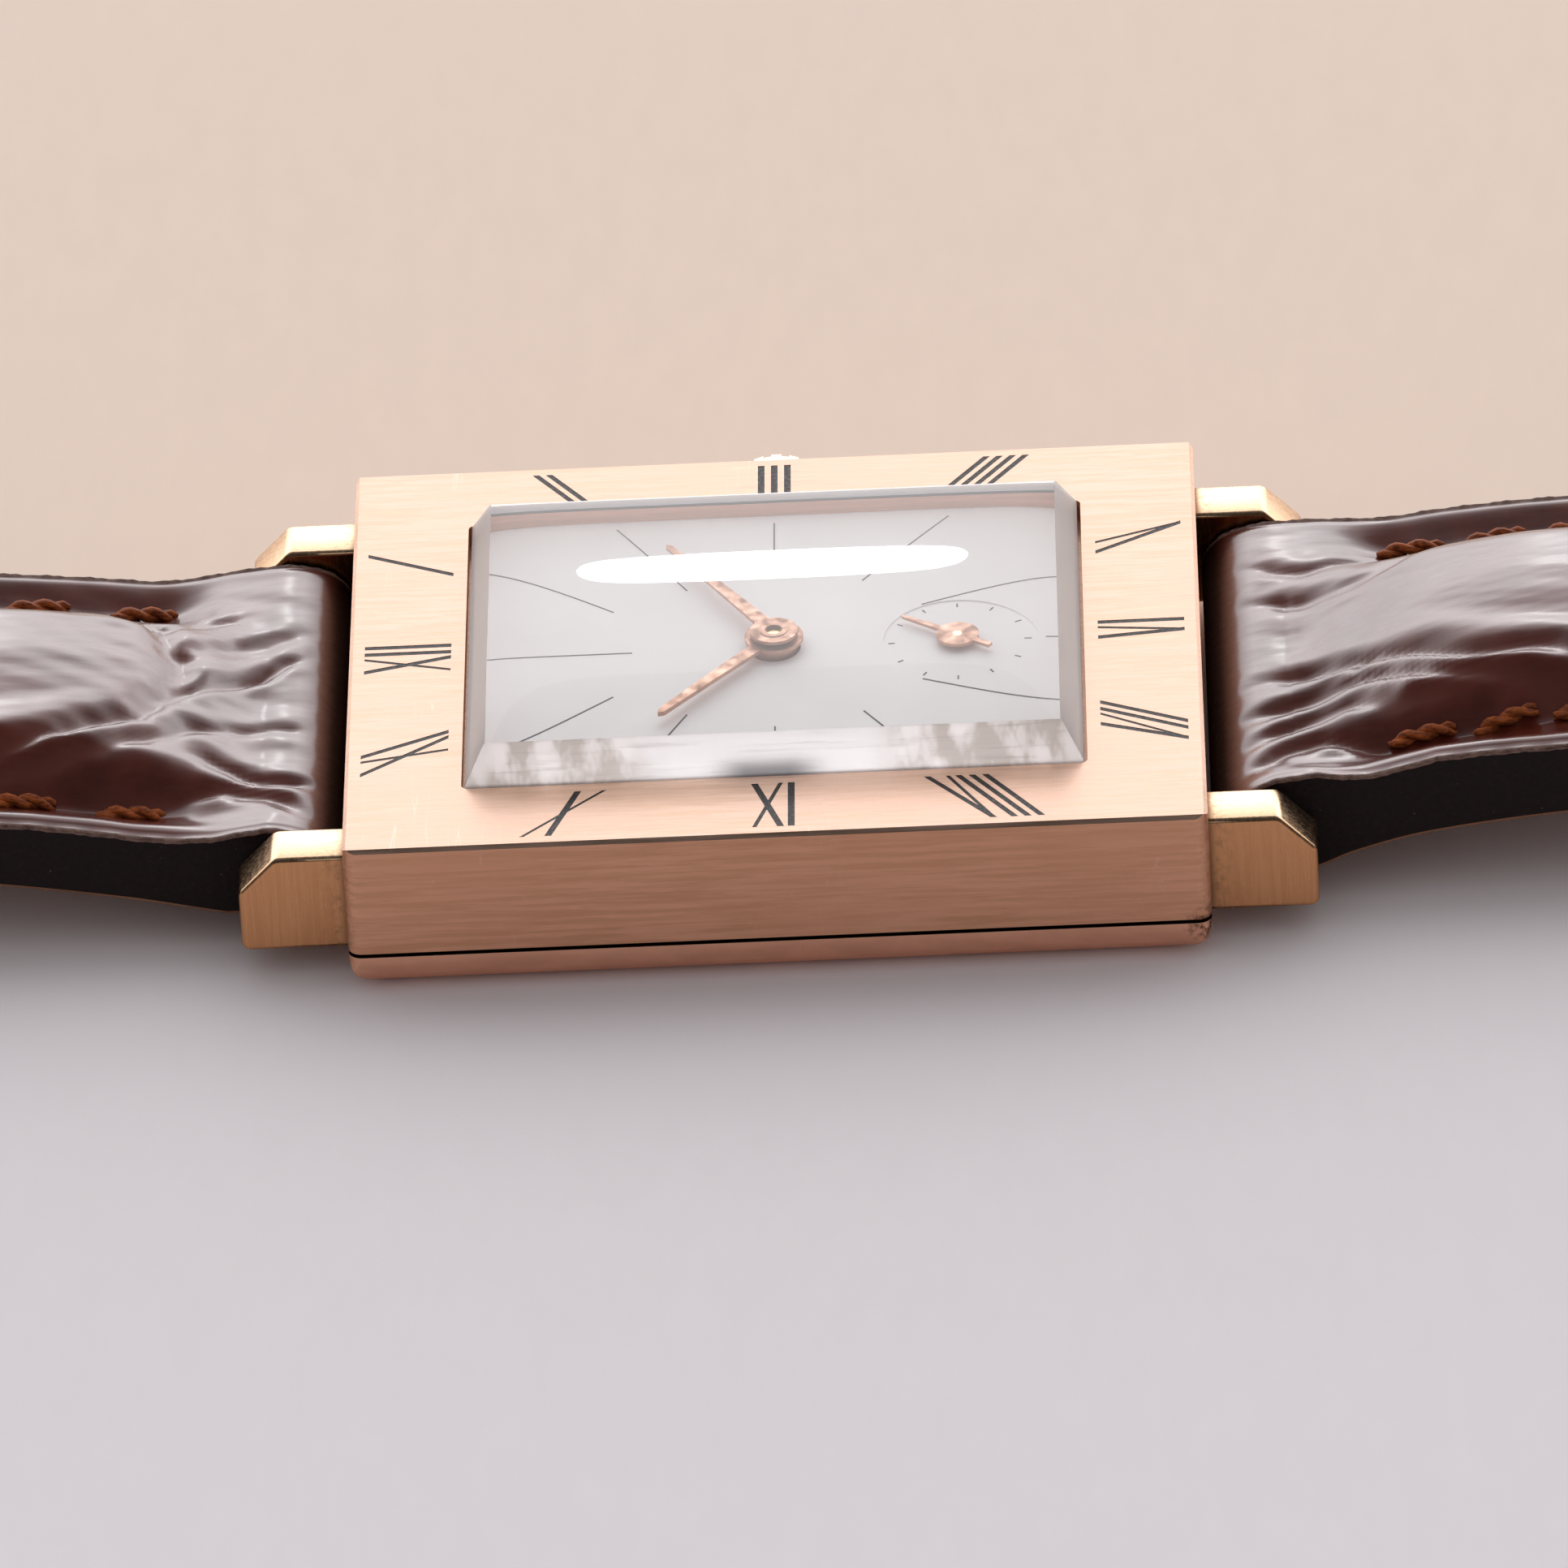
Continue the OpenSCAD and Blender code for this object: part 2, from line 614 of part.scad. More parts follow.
module balance_cock() {
  color("silver")
  difference() {
    union() {
      intersection() {
        disc([0, 0], z_bridge, z_bridge_top, bridge_r);
        union() {
          disc(COCK_FOOT, z_bridge, z_bridge_top, 1.9);
          bar_between(COCK_FOOT, balance_at, 2, z_bridge, z_bridge_top);
          disc(balance_at, z_bridge, z_bridge_top, 1.25);
        }
      }
      disc(COCK_FOOT, z_bridge_top - e, z_plate, 1.05);
      disc(balance_at + [-1.1, 0.5], z_bridge_top - e, 1.17, 0.12);
    }
    disc(balance_at, 0, 2, jewel_r);
    screw_holes([COCK_FOOT]);
  }
}

module barrel() {
  color("gold")
  translate([barrel_at[0], barrel_at[1], 0])
  difference() {
    union() {
      translate([0, 0, 1.25]) linear_extrude(height = 0.2)
        polygon(wheel_pts(80, 0.11, ph_barrel));
      disc([0, 0], 1.4, 2, 4.15);
    }
    disc([0, 0], 1.4, 3, 3.95);
    disc([0, 0], 1, 3, 0.53);
  }
}

module barrel_cover() {
  color("gold")
  difference() {
    disc(barrel_at, 2, 2.12, 4.15);
    disc(barrel_at, 1, 3, 0.53);
  }
}

module mainspring() {
  color("steelblue")
  translate([barrel_at[0], barrel_at[1], 1.46]) linear_extrude(height = 0.48)
    polygon(spiral(1, 3.84, 8, 0.09, 16));
}

module barrel_arbor() {
  color("silver") {
    disc(barrel_at, 0.52, 1.42, 0.5);
    disc(barrel_at, 1.42, 1.98, 0.95);
    disc(barrel_at, 1.98, 2.6, 0.5);
  }
}

module ratchet_wheel() {
  color("silver")
  translate([barrel_at[0], barrel_at[1], 0.55])
  difference() {
    linear_extrude(height = 0.17) polygon(wheel_pts(57, 0.12, ph_ratchet));
    translate([0, 0, -1]) cylinder(r = 0.5, h = 3);
  }
}

b_dir = dir(barrel_at, click_at);
BEAK = barrel_at + 3.52 * [cos(b_dir + 14), sin(b_dir + 14)];

module click() {
  color("silver")
  difference() {
    union() {
      disc(click_at, 0.57, 0.7, 0.48);
      translate([0, 0, 0.57]) linear_extrude(height = 0.13)
        polygon([click_at + [-0.45, 0], BEAK + [-0.12, 0], BEAK, click_at + [0.45, 0]]);
    }
    disc(click_at, 0, 2, 0.2 + running);
  }
}

module click_spring() {
  color("steelblue") {
    disc([-8.9, 1.75], 0.55, 0.76, 0.28);
    bar_between([-8.95, 1.9], [-8.62, 4.3], 0.1, 0.57, 0.7);
  }
}

module crown_wheel() {
  color("silver")
  translate([crown_wheel_at[0], crown_wheel_at[1], 0])
  difference() {
    union() {
      translate([0, 0, 0.55]) linear_extrude(height = 0.17) polygon(wheel_pts(36, 0.12, 0));
      disc([0, 0], 0.72, 1.03, 2.05);
    }
    disc([0, 0], 0.72, 2, 1.7);
    disc([0, 0], 0, 2, 0.43);
    for (i = [0:31])
      rotate([0, 0, i * 11.25]) translate([1.4, -0.085, 0.88]) cube([1, 0.17, 1]);
  }
}

module leaf_y(y0, y1, n, m) {
  translate([0, y0, stem_z]) rotate([-90, 0, 0])
    linear_extrude(height = y1 - y0) polygon(leaf_pts(n, m, 0));
}

module winding_pinion() {
  color("silver")
  difference() {
    union() {
      leaf_y(7.95, 8.5, 16, 0.107);
      spin_y(7.85, 7.95, 0.75, 0, stem_z);
    }
    spin_y(7, 9, stem_r + running, 0, stem_z);
  }
}

module sliding_pinion() {
  color("silver")
  difference() {
    union() {
      leaf_y(6.6, 7.1, 14, 0.105);
      spin_y(7.1, 7.36, 0.6, 0, stem_z);
      spin_y(7.36, 7.82, 0.82, 0, stem_z);
    }
    spin_y(6, 9, stem_r + running, 0, stem_z);
  }
}

module setting_lever() {
  color("silver")
  difference() {
    union() {
      disc(lever_at, 2.6, 2.8, 0.5);
      bar_between(lever_at, [0, 9.15], 0.5, 2.6, 2.8);
      disc([0, 9.15], 2.26, 2.8, 0.11);
      disc([0, 9.15], 2.6, 2.8, 0.28);
    }
    disc(lever_at, 2, 3, 0.25 + running);
  }
}

module yoke() {
  color("silver")
  difference() {
    union() {
      disc(yoke_at, 2.6, 2.8, 0.45);
      bar_between(yoke_at, [-0.95, 7.5], 0.36, 2.6, 2.8);
      bar_between([-1.1, 7.27], [0.35, 7.23], 0.17, 2.6, 2.8);
      bar_between([-0.98, 7.6], [-0.98, 7.2], 0.3, 2.6, 2.8);
    }
    disc(yoke_at, 2, 3, 0.25 + running);
  }
}

// A wheel with a rim and arms
module armed(n, m, ph, z, t, rim, hub, arms) {
  translate([0, 0, z]) {
    difference() {
      linear_extrude(height = t) polygon(wheel_pts(n, m, ph));
      translate([0, 0, -1]) cylinder(r = rim, h = 3);
    }
    cylinder(r = hub, h = t);
    for (i = [0:arms - 1])
      rotate([0, 0, i * 360 / arms + 20]) translate([0, -0.14, 0]) cube([rim + 0.02, 0.28, t]);
  }
}

module pinion(n, m, ph, z0, z1) {
  translate([0, 0, z0]) linear_extrude(height = z1 - z0) polygon(leaf_pts(n, m, ph));
}

module centre_wheel() {
  color("gold") {
    armed(80, 0.09, ph_centre, 0.98, 0.12, 3.1, 0.7, 5);
    pinion(10, 0.11, ph_centre_p, 1.2, 1.48);
    disc([0, 0], 0.56, 0.98, 0.2);
    disc([0, 0], 1.08, 4.3, 0.28);
  }
}

module cannon_pinion() {
  color("silver")
  difference() {
    union() {
      pinion(12, 0.1, 0, 2.42, 2.6);
      disc([0, 0], 2.6, z_minute + 0.12, 0.45);
    }
    disc([0, 0], 2, 5, 0.28);
  }
}

module minute_wheel() {
  color("gold")
  translate([minute_at[0], minute_at[1], 0])
  difference() {
    union() {
      translate([0, 0, 2.42]) linear_extrude(height = 0.16)
        polygon(wheel_pts(36, 0.1, ph_minute));
      pinion(10, 0.096, 0, 2.58, 2.88);
    }
    disc([0, 0], 2, 4, 0.2 + running);
  }
}

module hour_wheel() {
  color("gold")
  difference() {
    union() {
      translate([0, 0, 2.66]) linear_extrude(height = 0.14)
        polygon(wheel_pts(40, 0.096, ph_hour));
      disc([0, 0], 2.66, z_hour + 0.12, 0.75);
    }
    disc([0, 0], 2, 5, 0.45 + running);
  }
}

module setting_wheel() {
  color("gold")
  translate([setting_at[0], setting_at[1], 0])
  difference() {
    translate([0, 0, 2.42]) linear_extrude(height = 0.16)
      polygon(wheel_pts(18, 0.1, ph_setting));
    disc([0, 0], 2, 4, 0.25 + running);
  }
}

module third_wheel() {
  color("gold")
  translate([third_at[0], third_at[1], 0]) {
    armed(75, 0.085, ph_third, 1.52, 0.14, 2.75, 0.55, 4);
    pinion(10, 0.09, ph_third_p, 0.98, 1.22);
    disc([0, 0], 0.56, 0.95, 0.1);
    disc([0, 0], 0.93, 1.73, 0.17);
    disc([0, 0], 1.7, 2, 0.1);
  }
}

module fourth_wheel() {
  color("gold")
  translate([fourth_at[0], fourth_at[1], 0]) {
    armed(80, 0.07, ph_fourth, 1.27, 0.13, 2.4, 0.5, 4);
    pinion(10, 0.085, ph_fourth_p, 1.48, 1.7);
    disc([0, 0], 0.56, 0.95, 0.1);
    disc([0, 0], 0.93, 1.73, 0.16);
    disc([0, 0], 1.7, z_seconds + 0.08, 0.14);
  }
}

function escape_pts() = [for (i = [0:14]) for (k = [0:2])
  let (a = ph_escape + i * 24 + [0, 3.5, 9][k], r = [2, 2, 1.55][k])
  [r * cos(a), r * sin(a)]];

module escape_wheel() {
  color("silver")
  translate([escape_at[0], escape_at[1], 0]) {
    difference() {
      translate([0, 0, 1.74]) linear_extrude(height = 0.1) polygon(escape_pts());
      disc([0, 0], 1, 2, 1.3);
    }
    disc([0, 0], 1.74, 1.84, 0.4);
    for (i = [0:3])
      rotate([0, 0, i * 90]) translate([0, -0.12, 1.74]) cube([1.36, 0.24, 0.1]);
    pinion(8, 0.07, ph_escape_p, 1.24, 1.43);
    disc([0, 0], 0.56, 0.95, 0.07);
    disc([0, 0], 0.93, 2.13, 0.12);
    disc([0, 0], 2.1, 2.4, 0.07);
  }
}

e_dir = dir(pallet_at, escape_at);

module pallet_fork() {
  color("silver")
  translate([pallet_at[0], pallet_at[1], 0]) {
    disc([0, 0], 1.52, 1.74, 0.1);
    disc([0, 0], 1.74, 1.86, 0.32);
    disc([0, 0], 1.86, 2.13, 0.12);
    disc([0, 0], 2.1, 2.4, 0.07);
    for (s = [-1, 1])
      rotate([0, 0, e_dir + s * 60]) translate([0, -0.15, 1.74]) cube([0.98, 0.3, 0.12]);
    rotate([0, 0, p_dir]) {
      translate([0, -0.13, 1.74]) cube([2.62, 0.26, 0.12]);
      for (s = [-1, 1])
        translate([2.5, s * 0.22 - 0.08, 1.74]) cube([0.4, 0.16, 0.12]);
      translate([2.46, -0.3, 1.74]) cube([0.12, 0.6, 0.12]);
    }
  }
}

module pallet_stones() {
  color("crimson")
  translate([pallet_at[0], pallet_at[1], 0])
    for (s = [-1, 1])
      rotate([0, 0, e_dir + s * 60]) translate([0.98, -0.08, 1.75]) cube([0.26, 0.16, 0.1]);
}

module balance_wheel() {
  color("gold")
  translate([balance_at[0], balance_at[1], 0])
  difference() {
    union() {
      difference() {
        disc([0, 0], 1.22, 1.4, 4);
        disc([0, 0], 1, 2, 3.5);
      }
      translate([-3.6, -0.25, 1.22]) cube([7.2, 0.5, 0.16]);
      disc([0, 0], 1.22, 1.4, 0.55);
    }
    disc([0, 0], 1, 2, 0.2);
  }
}

module balance_staff() {
  color("silver")
  translate([balance_at[0], balance_at[1], 0]) {
    disc([0, 0], 0.56, 0.97, 0.08);
    disc([0, 0], 0.95, 1.22, 0.2);
    disc([0, 0], 1.03, 1.17, 0.34);
    disc([0, 0], 1.2, 1.42, 0.2);
    disc([0, 0], 1.4, 1.58, 0.3);
    disc([0, 0], 1.58, 1.68, 0.85);
    disc([0, 0], 1.66, 2.13, 0.15);
    disc([0, 0], 2.1, 2.4, 0.08);
    rotate([0, 0, p_dir + 180]) translate([0.7, 0, 1.66]) cylinder(r = 0.09, h = 0.24);
  }
}

module hairspring() {
  color("steelblue")
  translate([balance_at[0], balance_at[1], 1.05]) linear_extrude(height = 0.1)
    polygon(spiral(0.4, 1.62, 6, 0.05, 16));
}

module regulator() {
  color("silver")
  difference() {
    union() {
      disc(balance_at, z_bridge - 0.05, z_bridge, 0.75);
      bar_between(balance_at, balance_at + [-1.9, 0.75], 0.28, z_bridge - 0.05, z_bridge);
    }
    disc(balance_at, 0, 1, jewel_r + 0.06);
  }
}

// Place, lower level, upper level, bore
JEWELS = [[third_at, 0.5, 0.9, 0.12], [third_at, 1.75, 2.05, 0.12],
  [fourth_at, 0.5, 0.9, 0.12], [fourth_at, 1.75, 2.15, 0.16],
  [escape_at, 0.5, 0.9, 0.09], [escape_at, 2.15, 2.45, 0.09],
  [pallet_at, 2.15, 2.45, 0.09], [balance_at, 0.5, 0.9, 0.1],
  [balance_at, 2.15, 2.45, 0.1]];

module jewels() {
  color("crimson") {
    for (j = JEWELS)
      difference() {
        disc(j[0], j[1], j[2], jewel_r);
        disc(j[0], 0, 4, j[3]);
      }
    difference() {
      disc(pallet_at, 1.48, 1.64, 0.3);
      disc(pallet_at, 0, 4, 0.12);
    }
    for (z = [[0.5, 0.9, 0.22], [1.75, 2.15, 0.3]])
      difference() {
        disc([0, 0], z[0], z[1], 0.55);
        disc([0, 0], 0, 4, z[2]);
      }
  }
}

module bridge_screws() {
  color("steelblue")
  for (p = concat(TRAIN_FEET, BARREL_FEET, [COCK_FOOT]))
    difference() {
      union() {
        disc(p, z_bridge, z_bridge + 0.17, head_r);
        disc(p, z_bridge, 2.25, screw_r);
      }
      translate([p[0] - 1, p[1] - 0.05, 0]) cube([2, 0.1, z_bridge + 0.06]);
    }
}

module spring_bar(x) {
  color("silver") {
    spin_y(-lug_in + 0.2, lug_in - 0.2, bar_r, x, bar_z);
    spin_y(-lug_in - 1.1, lug_in + 1.1, tip_r, x, bar_z);
  }
}

module spring_bar_12() spring_bar(-bar_x);
module spring_bar_6() spring_bar(bar_x);

module strap_solid(t, n) {
  pts = [for (i = [0:n]) let (x = reach(t, n, i)) for (p = strap_ring(t, x)) [x, p[0], p[1]]];
  sides = [for (i = [0:n - 1]) for (k = [0:RING - 1])
    let (a = i * RING + k, b = i * RING + (k + 1) % RING)
    for (f = [[a, a + RING, b], [b, a + RING, b + RING]]) f];
  first = [for (k = [1:RING - 2]) [0, k, k + 1]];
  last = [for (k = [1:RING - 2]) [n * RING, n * RING + k + 1, n * RING + k]];
  polyhedron(points = pts, faces = concat(sides, first, last));
}

module strap_12() {
  color("saddlebrown")
  translate([-bar_x, 0, 0]) mirror([1, 0, 0])
  difference() {
    union() {
      strap_solid(S12, N12);
      spin_y(-hw, hw, loop_r, 0, bar_z);
      spin_y(-hw + 1, hw - 1, end_r, buckle_side, end_z);
    }
    spin_y(-hw - 1, hw + 1, bar_r + 0.05, 0, bar_z);
    spin_y(-hw - 1, hw + 1, bb_r + 0.05, buckle_side, end_z);
    translate([buckle_side - 4.6, -1.3, 0]) cube([7, 2.6, 4]);
  }
}

module strap_6() {
  color("saddlebrown")
  translate([bar_x, 0, 0])
  difference() {
    union() {
      strap_solid(S6, N6);
      spin_y(-hw, hw, loop_r, 0, bar_z);
    }
    spin_y(-hw - 1, hw + 1, bar_r + 0.05, 0, bar_z);
    for (i = [0:6])
      disc([68 + 6 * i, 0], -1, 4, hole_r);
  }
}

module loop_band(d, low) {
  translate([-(bar_x + d), 0, 0])
  difference() {
    rotate([90, 0, 90]) translate([0, 0, -keep_long / 2]) linear_extrude(height = keep_long)
      polygon([[-keep_in / 2 - keep_wall + 0.4, 0], [keep_in / 2 + keep_wall - 0.4, 0],
        [keep_in / 2 + keep_wall, 0.4], [keep_in / 2 + keep_wall, keep_top + 0.3],
        [keep_in / 2 + 0.1, keep_top + keep_wall], [-keep_in / 2 - 0.1, keep_top + keep_wall],
        [-keep_in / 2 - keep_wall, keep_top + 0.3], [-keep_in / 2 - keep_wall, 0.4]]);
    translate([-keep_long, -keep_in / 2, low]) cube([2 * keep_long, keep_in, keep_top - low]);
  }
}

module fixed_keeper() {
  color("saddlebrown") loop_band(keep_fix, 1);
}

module sliding_keeper() {
  color("saddlebrown") loop_band(keep_slide, 0.9);
}

// The frame runs from its bosses on the bar to the front bar on the surface
module buckle_frame() {
  w = (frame_out - frame_in) / 2;
  color("gold")
  translate([bb_x, 0, 0]) mirror([1, 0, 0])
  difference() {
    union() {
      for (s = [-1, 1])
        translate([0, s * (frame_in + w) / 2, 0]) {
          along_y([[-0.2, 3.2], [4, 3], [8.6, 2.1], [10, 1.7], [10.5, 1.2], [10.5, 0.3],
            [10.2, 0], [8.6, 0], [4, 0.7], [-0.2, 0.8]], w);
          spin_y(-w / 2, w / 2, 1.2, 0, end_z);
        }
      along_y([[8.6, 0], [10.2, 0], [10.5, 0.3], [10.5, 1.2], [10, 1.7], [9, 1.95],
        [8.6, 1.6]], frame_in + 0.2);
    }
    spin_y(-11, 11, bb_r + 0.04, 0, end_z);
  }
}

module buckle_tongue() {
  color("gold")
  translate([bb_x, 0, 0]) mirror([1, 0, 0])
  difference() {
    union() {
      spin_y(-0.95, 0.95, 0.95, 0, end_z);
      along_y([[0, 2.95], [6, 2.75], [9.9, 2.35], [10.6, 1.95], [10.7, 1.8], [10, 1.78],
        [8.6, 2.06], [5.5, 2.1], [0, 2.2]], 1.2);
    }
    spin_y(-2, 2, bb_r + 0.04, 0, end_z);
  }
}

module buckle_bar() {
  color("silver") spin_y(-frame_out / 2 + 0.3, frame_out / 2 - 0.3, bb_r, bb_x, end_z);
}

case_front();
case_back();
crystal();
lug_1();
lug_4();
lug_7();
lug_10();
numeral_inlay();
crown();
winding_stem();
movement_ring();
dial();
hour_hand();
minute_hand();
seconds_hand();
mainplate();
barrel_bridge();
train_bridge();
pallet_bridge();
balance_cock();
barrel();
barrel_cover();
mainspring();
barrel_arbor();
ratchet_wheel();
click();
click_spring();
crown_wheel();
winding_pinion();
sliding_pinion();
setting_lever();
yoke();
centre_wheel();
cannon_pinion();
minute_wheel();
hour_wheel();
setting_wheel();
third_wheel();
fourth_wheel();
escape_wheel();
pallet_fork();
pallet_stones();
balance_wheel();
balance_staff();
hairspring();
regulator();
jewels();
bridge_screws();
spring_bar_12();
spring_bar_6();
strap_12();
strap_6();
fixed_keeper();
sliding_keeper();
buckle_frame();
buckle_tongue();
buckle_bar();
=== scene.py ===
import json
import math
import bpy
import bmesh
import numpy as np
from mathutils import Matrix, Vector


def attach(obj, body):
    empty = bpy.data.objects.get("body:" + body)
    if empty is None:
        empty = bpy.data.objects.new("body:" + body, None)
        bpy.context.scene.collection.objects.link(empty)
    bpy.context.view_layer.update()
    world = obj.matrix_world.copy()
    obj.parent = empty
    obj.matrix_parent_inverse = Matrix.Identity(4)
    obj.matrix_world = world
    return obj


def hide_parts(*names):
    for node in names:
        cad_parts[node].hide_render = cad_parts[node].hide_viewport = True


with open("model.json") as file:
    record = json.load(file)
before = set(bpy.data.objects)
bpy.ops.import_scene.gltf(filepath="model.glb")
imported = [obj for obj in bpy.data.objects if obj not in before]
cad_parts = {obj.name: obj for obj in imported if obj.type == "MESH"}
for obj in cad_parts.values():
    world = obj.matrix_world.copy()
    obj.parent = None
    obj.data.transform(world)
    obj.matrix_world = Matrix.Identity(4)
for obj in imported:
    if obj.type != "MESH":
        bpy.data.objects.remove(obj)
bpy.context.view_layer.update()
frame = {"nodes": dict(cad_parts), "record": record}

MM = 0.001

# The case in millimetres, as in the part's source
CASE_L = 27.5
CASE_H = 5.22
SEAM_LOW = 1.32
SEAM_TOP = 1.44
DIAL_TOP = 3.85
BAR_X = 15.8
BAR_Z = 2.6


# Finishes

class Finish:
    """One finish: a Principled surface and the nodes that feed it."""

    def __init__(self, name, **values):
        self.material = bpy.data.materials.new(name)
        self.material.use_nodes = True
        self.tree = self.material.node_tree
        self.surface = self.tree.nodes["Principled BSDF"]
        self.result = self.tree.nodes["Material Output"].inputs["Surface"]
        self.coords = self.tree.nodes.new("ShaderNodeTexCoord")
        self.place = self.coords.outputs["Object"]
        for key, value in values.items():
            self.feed(key.replace("_", " "), value)

    def put(self, socket, value):
        """Links a socket to another one, or gives it a plain value."""
        if isinstance(value, bpy.types.NodeSocket):
            self.tree.links.new(value, socket)
        elif isinstance(value, (tuple, list)) and len(value) == 3 and socket.type == "RGBA":
            socket.default_value = (*value, 1)
        else:
            socket.default_value = value

    def feed(self, name, value):
        """Sets one of the surface's own inputs."""
        self.put(self.surface.inputs[name], value)

    def end(self, surface):
        """Makes another shader than the surface the finish's result."""
        self.put(self.result, surface)

    def add(self, kind, out=0, settings=None, **inputs):
        """Adds a node and gives one of its outputs; i0, i1 and so on are inputs by number."""
        node = self.tree.nodes.new("ShaderNode" + kind)
        for key, value in (settings or {}).items():
            setattr(node, key, value)
        for key, value in inputs.items():
            numbered = key[0] == "i" and key[1:].isdigit()
            self.put(node.inputs[int(key[1:]) if numbered else key.replace("_", " ")], value)
        return node.outputs[out]

    def stretched(self, per_metre, turn=(0, 0, 0)):
        """The piece's own coordinates, with so many units to the metre along each axis."""
        return self.add("Mapping", Vector=self.place, Scale=per_metre, Rotation=turn)

    def grain(self, per_metre, detail=3.0, roughness=0.5, turn=(0, 0, 0)):
        """Noise with about so many grains to the metre along each axis."""
        return self.add("TexNoise", Vector=self.stretched(per_metre, turn), Scale=1.0, Detail=detail,
                        Roughness=roughness)

    def level(self, value, low, high, to_low=0.0, to_high=1.0, smooth=False):
        """Turns the range from low to high into the range from to_low to to_high."""
        return self.add("MapRange", settings={"interpolation_type": "SMOOTHSTEP" if smooth else "LINEAR"},
                        Value=value, From_Min=low, From_Max=high, To_Min=to_low, To_Max=to_high)

    def maths(self, operation, a, b=0.0):
        return self.add("Math", settings={"operation": operation}, i0=a, i1=b)

    def between(self, amount, a, b):
        """Mixes two numbers."""
        return self.add("Mix", settings={"data_type": "FLOAT"}, i0=amount, i2=a, i3=b)

    def blend(self, amount, a, b, how="MIX"):
        """Mixes two colours, which are the Mix node's inputs 6 and 7 and its output 2."""
        return self.add("Mix", out=2, settings={"data_type": "RGBA", "blend_type": how}, i0=amount,
                        i6=a, i7=b)

    def axis(self, name, source=None):
        return self.add("SeparateXYZ", out="XYZ".index(name), Vector=source or self.place)

    def attribute(self, name):
        return self.add("Attribute", out="Fac", settings={"attribute_name": name})

    def colour(self, value):
        self.feed("Base Color", value)

    def rough(self, value):
        self.feed("Roughness", value)

    def bump(self, height, depth_mm, strength=1.0):
        self.feed("Normal", self.add("Bump", Height=height, Distance=depth_mm * MM, Strength=strength))


def brushed_gold(name, pale, deep, lines, side, rough, end_lines=None, depth=0.010, dirt=None):
    """Gold with fine brush lines, its standing faces multiplied by side, a painted shade for the dimmer light
    they get.

    end_lines is the run of the lines on the faces that look along X.
    """
    f = Finish(name, Metallic=1.0)
    streaks = f.grain(lines, 5.0, 0.62)
    if end_lines:
        normal = f.axis("X", f.coords.outputs["Normal"])
        at_end = f.level(f.maths("ABSOLUTE", normal), 0.6, 0.8)
        streaks = f.between(at_end, streaks, f.grain(end_lines, 5.0, 0.62))
    patches = f.grain((130, 130, 130), 3.0)
    tone = f.blend(f.level(streaks, 0.40, 0.60), deep, pale)
    redder = tuple(0.9 * c * k for c, k in zip(pale, (1, 0.93, 0.9)))
    tone = f.blend(f.level(patches, 0.45, 0.75, 0.0, 0.5), tone, redder)
    scratch = f.grain((900, 60, 500), 2.0, turn=(0.3, 0.5, 0.9))
    scratch = f.level(f.maths("ABSOLUTE", f.maths("SUBTRACT", scratch, 0.5)), 0.0, 0.0035, 1.0, 0.0)
    scratch = f.maths("MULTIPLY", scratch, f.level(f.grain((260, 260, 260), 1.0), 0.56, 0.62))
    tone = f.blend(f.maths("MULTIPLY", scratch, 0.35), tone, (1.0, 0.93, 0.86))
    # Painted shade: faces that stand up take the side colour, darker than the top
    painted_side_shade = f.level(f.axis("Z", f.coords.outputs["Normal"]), 0.3, 0.8, 1.0, 0.0)
    tone = f.blend(painted_side_shade, tone, side, "MULTIPLY")
    if dirt:
        tone = dirt(f, tone)
    f.colour(tone)
    f.rough(f.level(streaks, 0.3, 0.7, rough[0], rough[1]))
    f.bump(streaks, depth, 0.6)
    return f.material


def joint_dirt(f, tone):
    """Old grime where a lug meets the case, thinning out along the lug."""
    joint = CASE_L / 2
    out = f.maths("ABSOLUTE", f.axis("X"))
    thinning = f.level(out, (joint + 0.05) * MM, (joint + 1.25) * MM, 1.0, 0.0)
    spots = f.level(f.grain((4200, 4200, 4200), 4.0, 0.7), 0.44, 0.68)
    spotted = f.maths("MULTIPLY", f.maths("MULTIPLY", thinning, thinning), f.maths("MULTIPLY", spots, 0.85))
    corner = f.level(out, (joint + 0.03) * MM, (joint + 0.27) * MM, 0.75, 0.0)
    return f.blend(f.maths("MAXIMUM", spotted, corner), tone, (0.16, 0.105, 0.06))


def seam_grime(f, tone):
    """Dark dirt in the seam between band and back, with one brown spot at the corner."""
    z = f.axis("Z")
    soft = 0.02
    above = f.level(z, (SEAM_LOW - soft) * MM, SEAM_LOW * MM)
    below = f.level(z, SEAM_TOP * MM, (SEAM_TOP + soft) * MM, 1.0, 0.0)
    tone = f.blend(f.maths("MULTIPLY", above, below), tone, (0.018, 0.010, 0.008))
    corner = (13.5 * MM, -12.2 * MM, 1.25 * MM)
    away = f.add("VectorMath", out="Value", settings={"operation": "DISTANCE"}, i0=f.place, i1=corner)
    spots = f.level(f.grain((4500, 4500, 4500)), 0.42, 0.6)
    spot = f.maths("MULTIPLY", f.level(away, 0.3 * MM, 0.8 * MM, 1.0, 0.0), spots)
    return f.blend(spot, tone, (0.13, 0.045, 0.02))


def polished(name, colour, rough=0.16, metallic=1.0):
    """A smooth metal or stone with a faint cloudiness."""
    f = Finish(name, Metallic=metallic)
    cloud = f.grain((900, 900, 900), 4.0)
    f.colour(f.blend(f.level(cloud, 0.35, 0.65), tuple(0.82 * c for c in colour), colour))
    f.rough(f.level(f.grain((2700, 2700, 900), 3.0), 0.3, 0.7, rough * 0.7, rough * 1.4))
    f.bump(cloud, 0.002, 0.5)
    return f.material


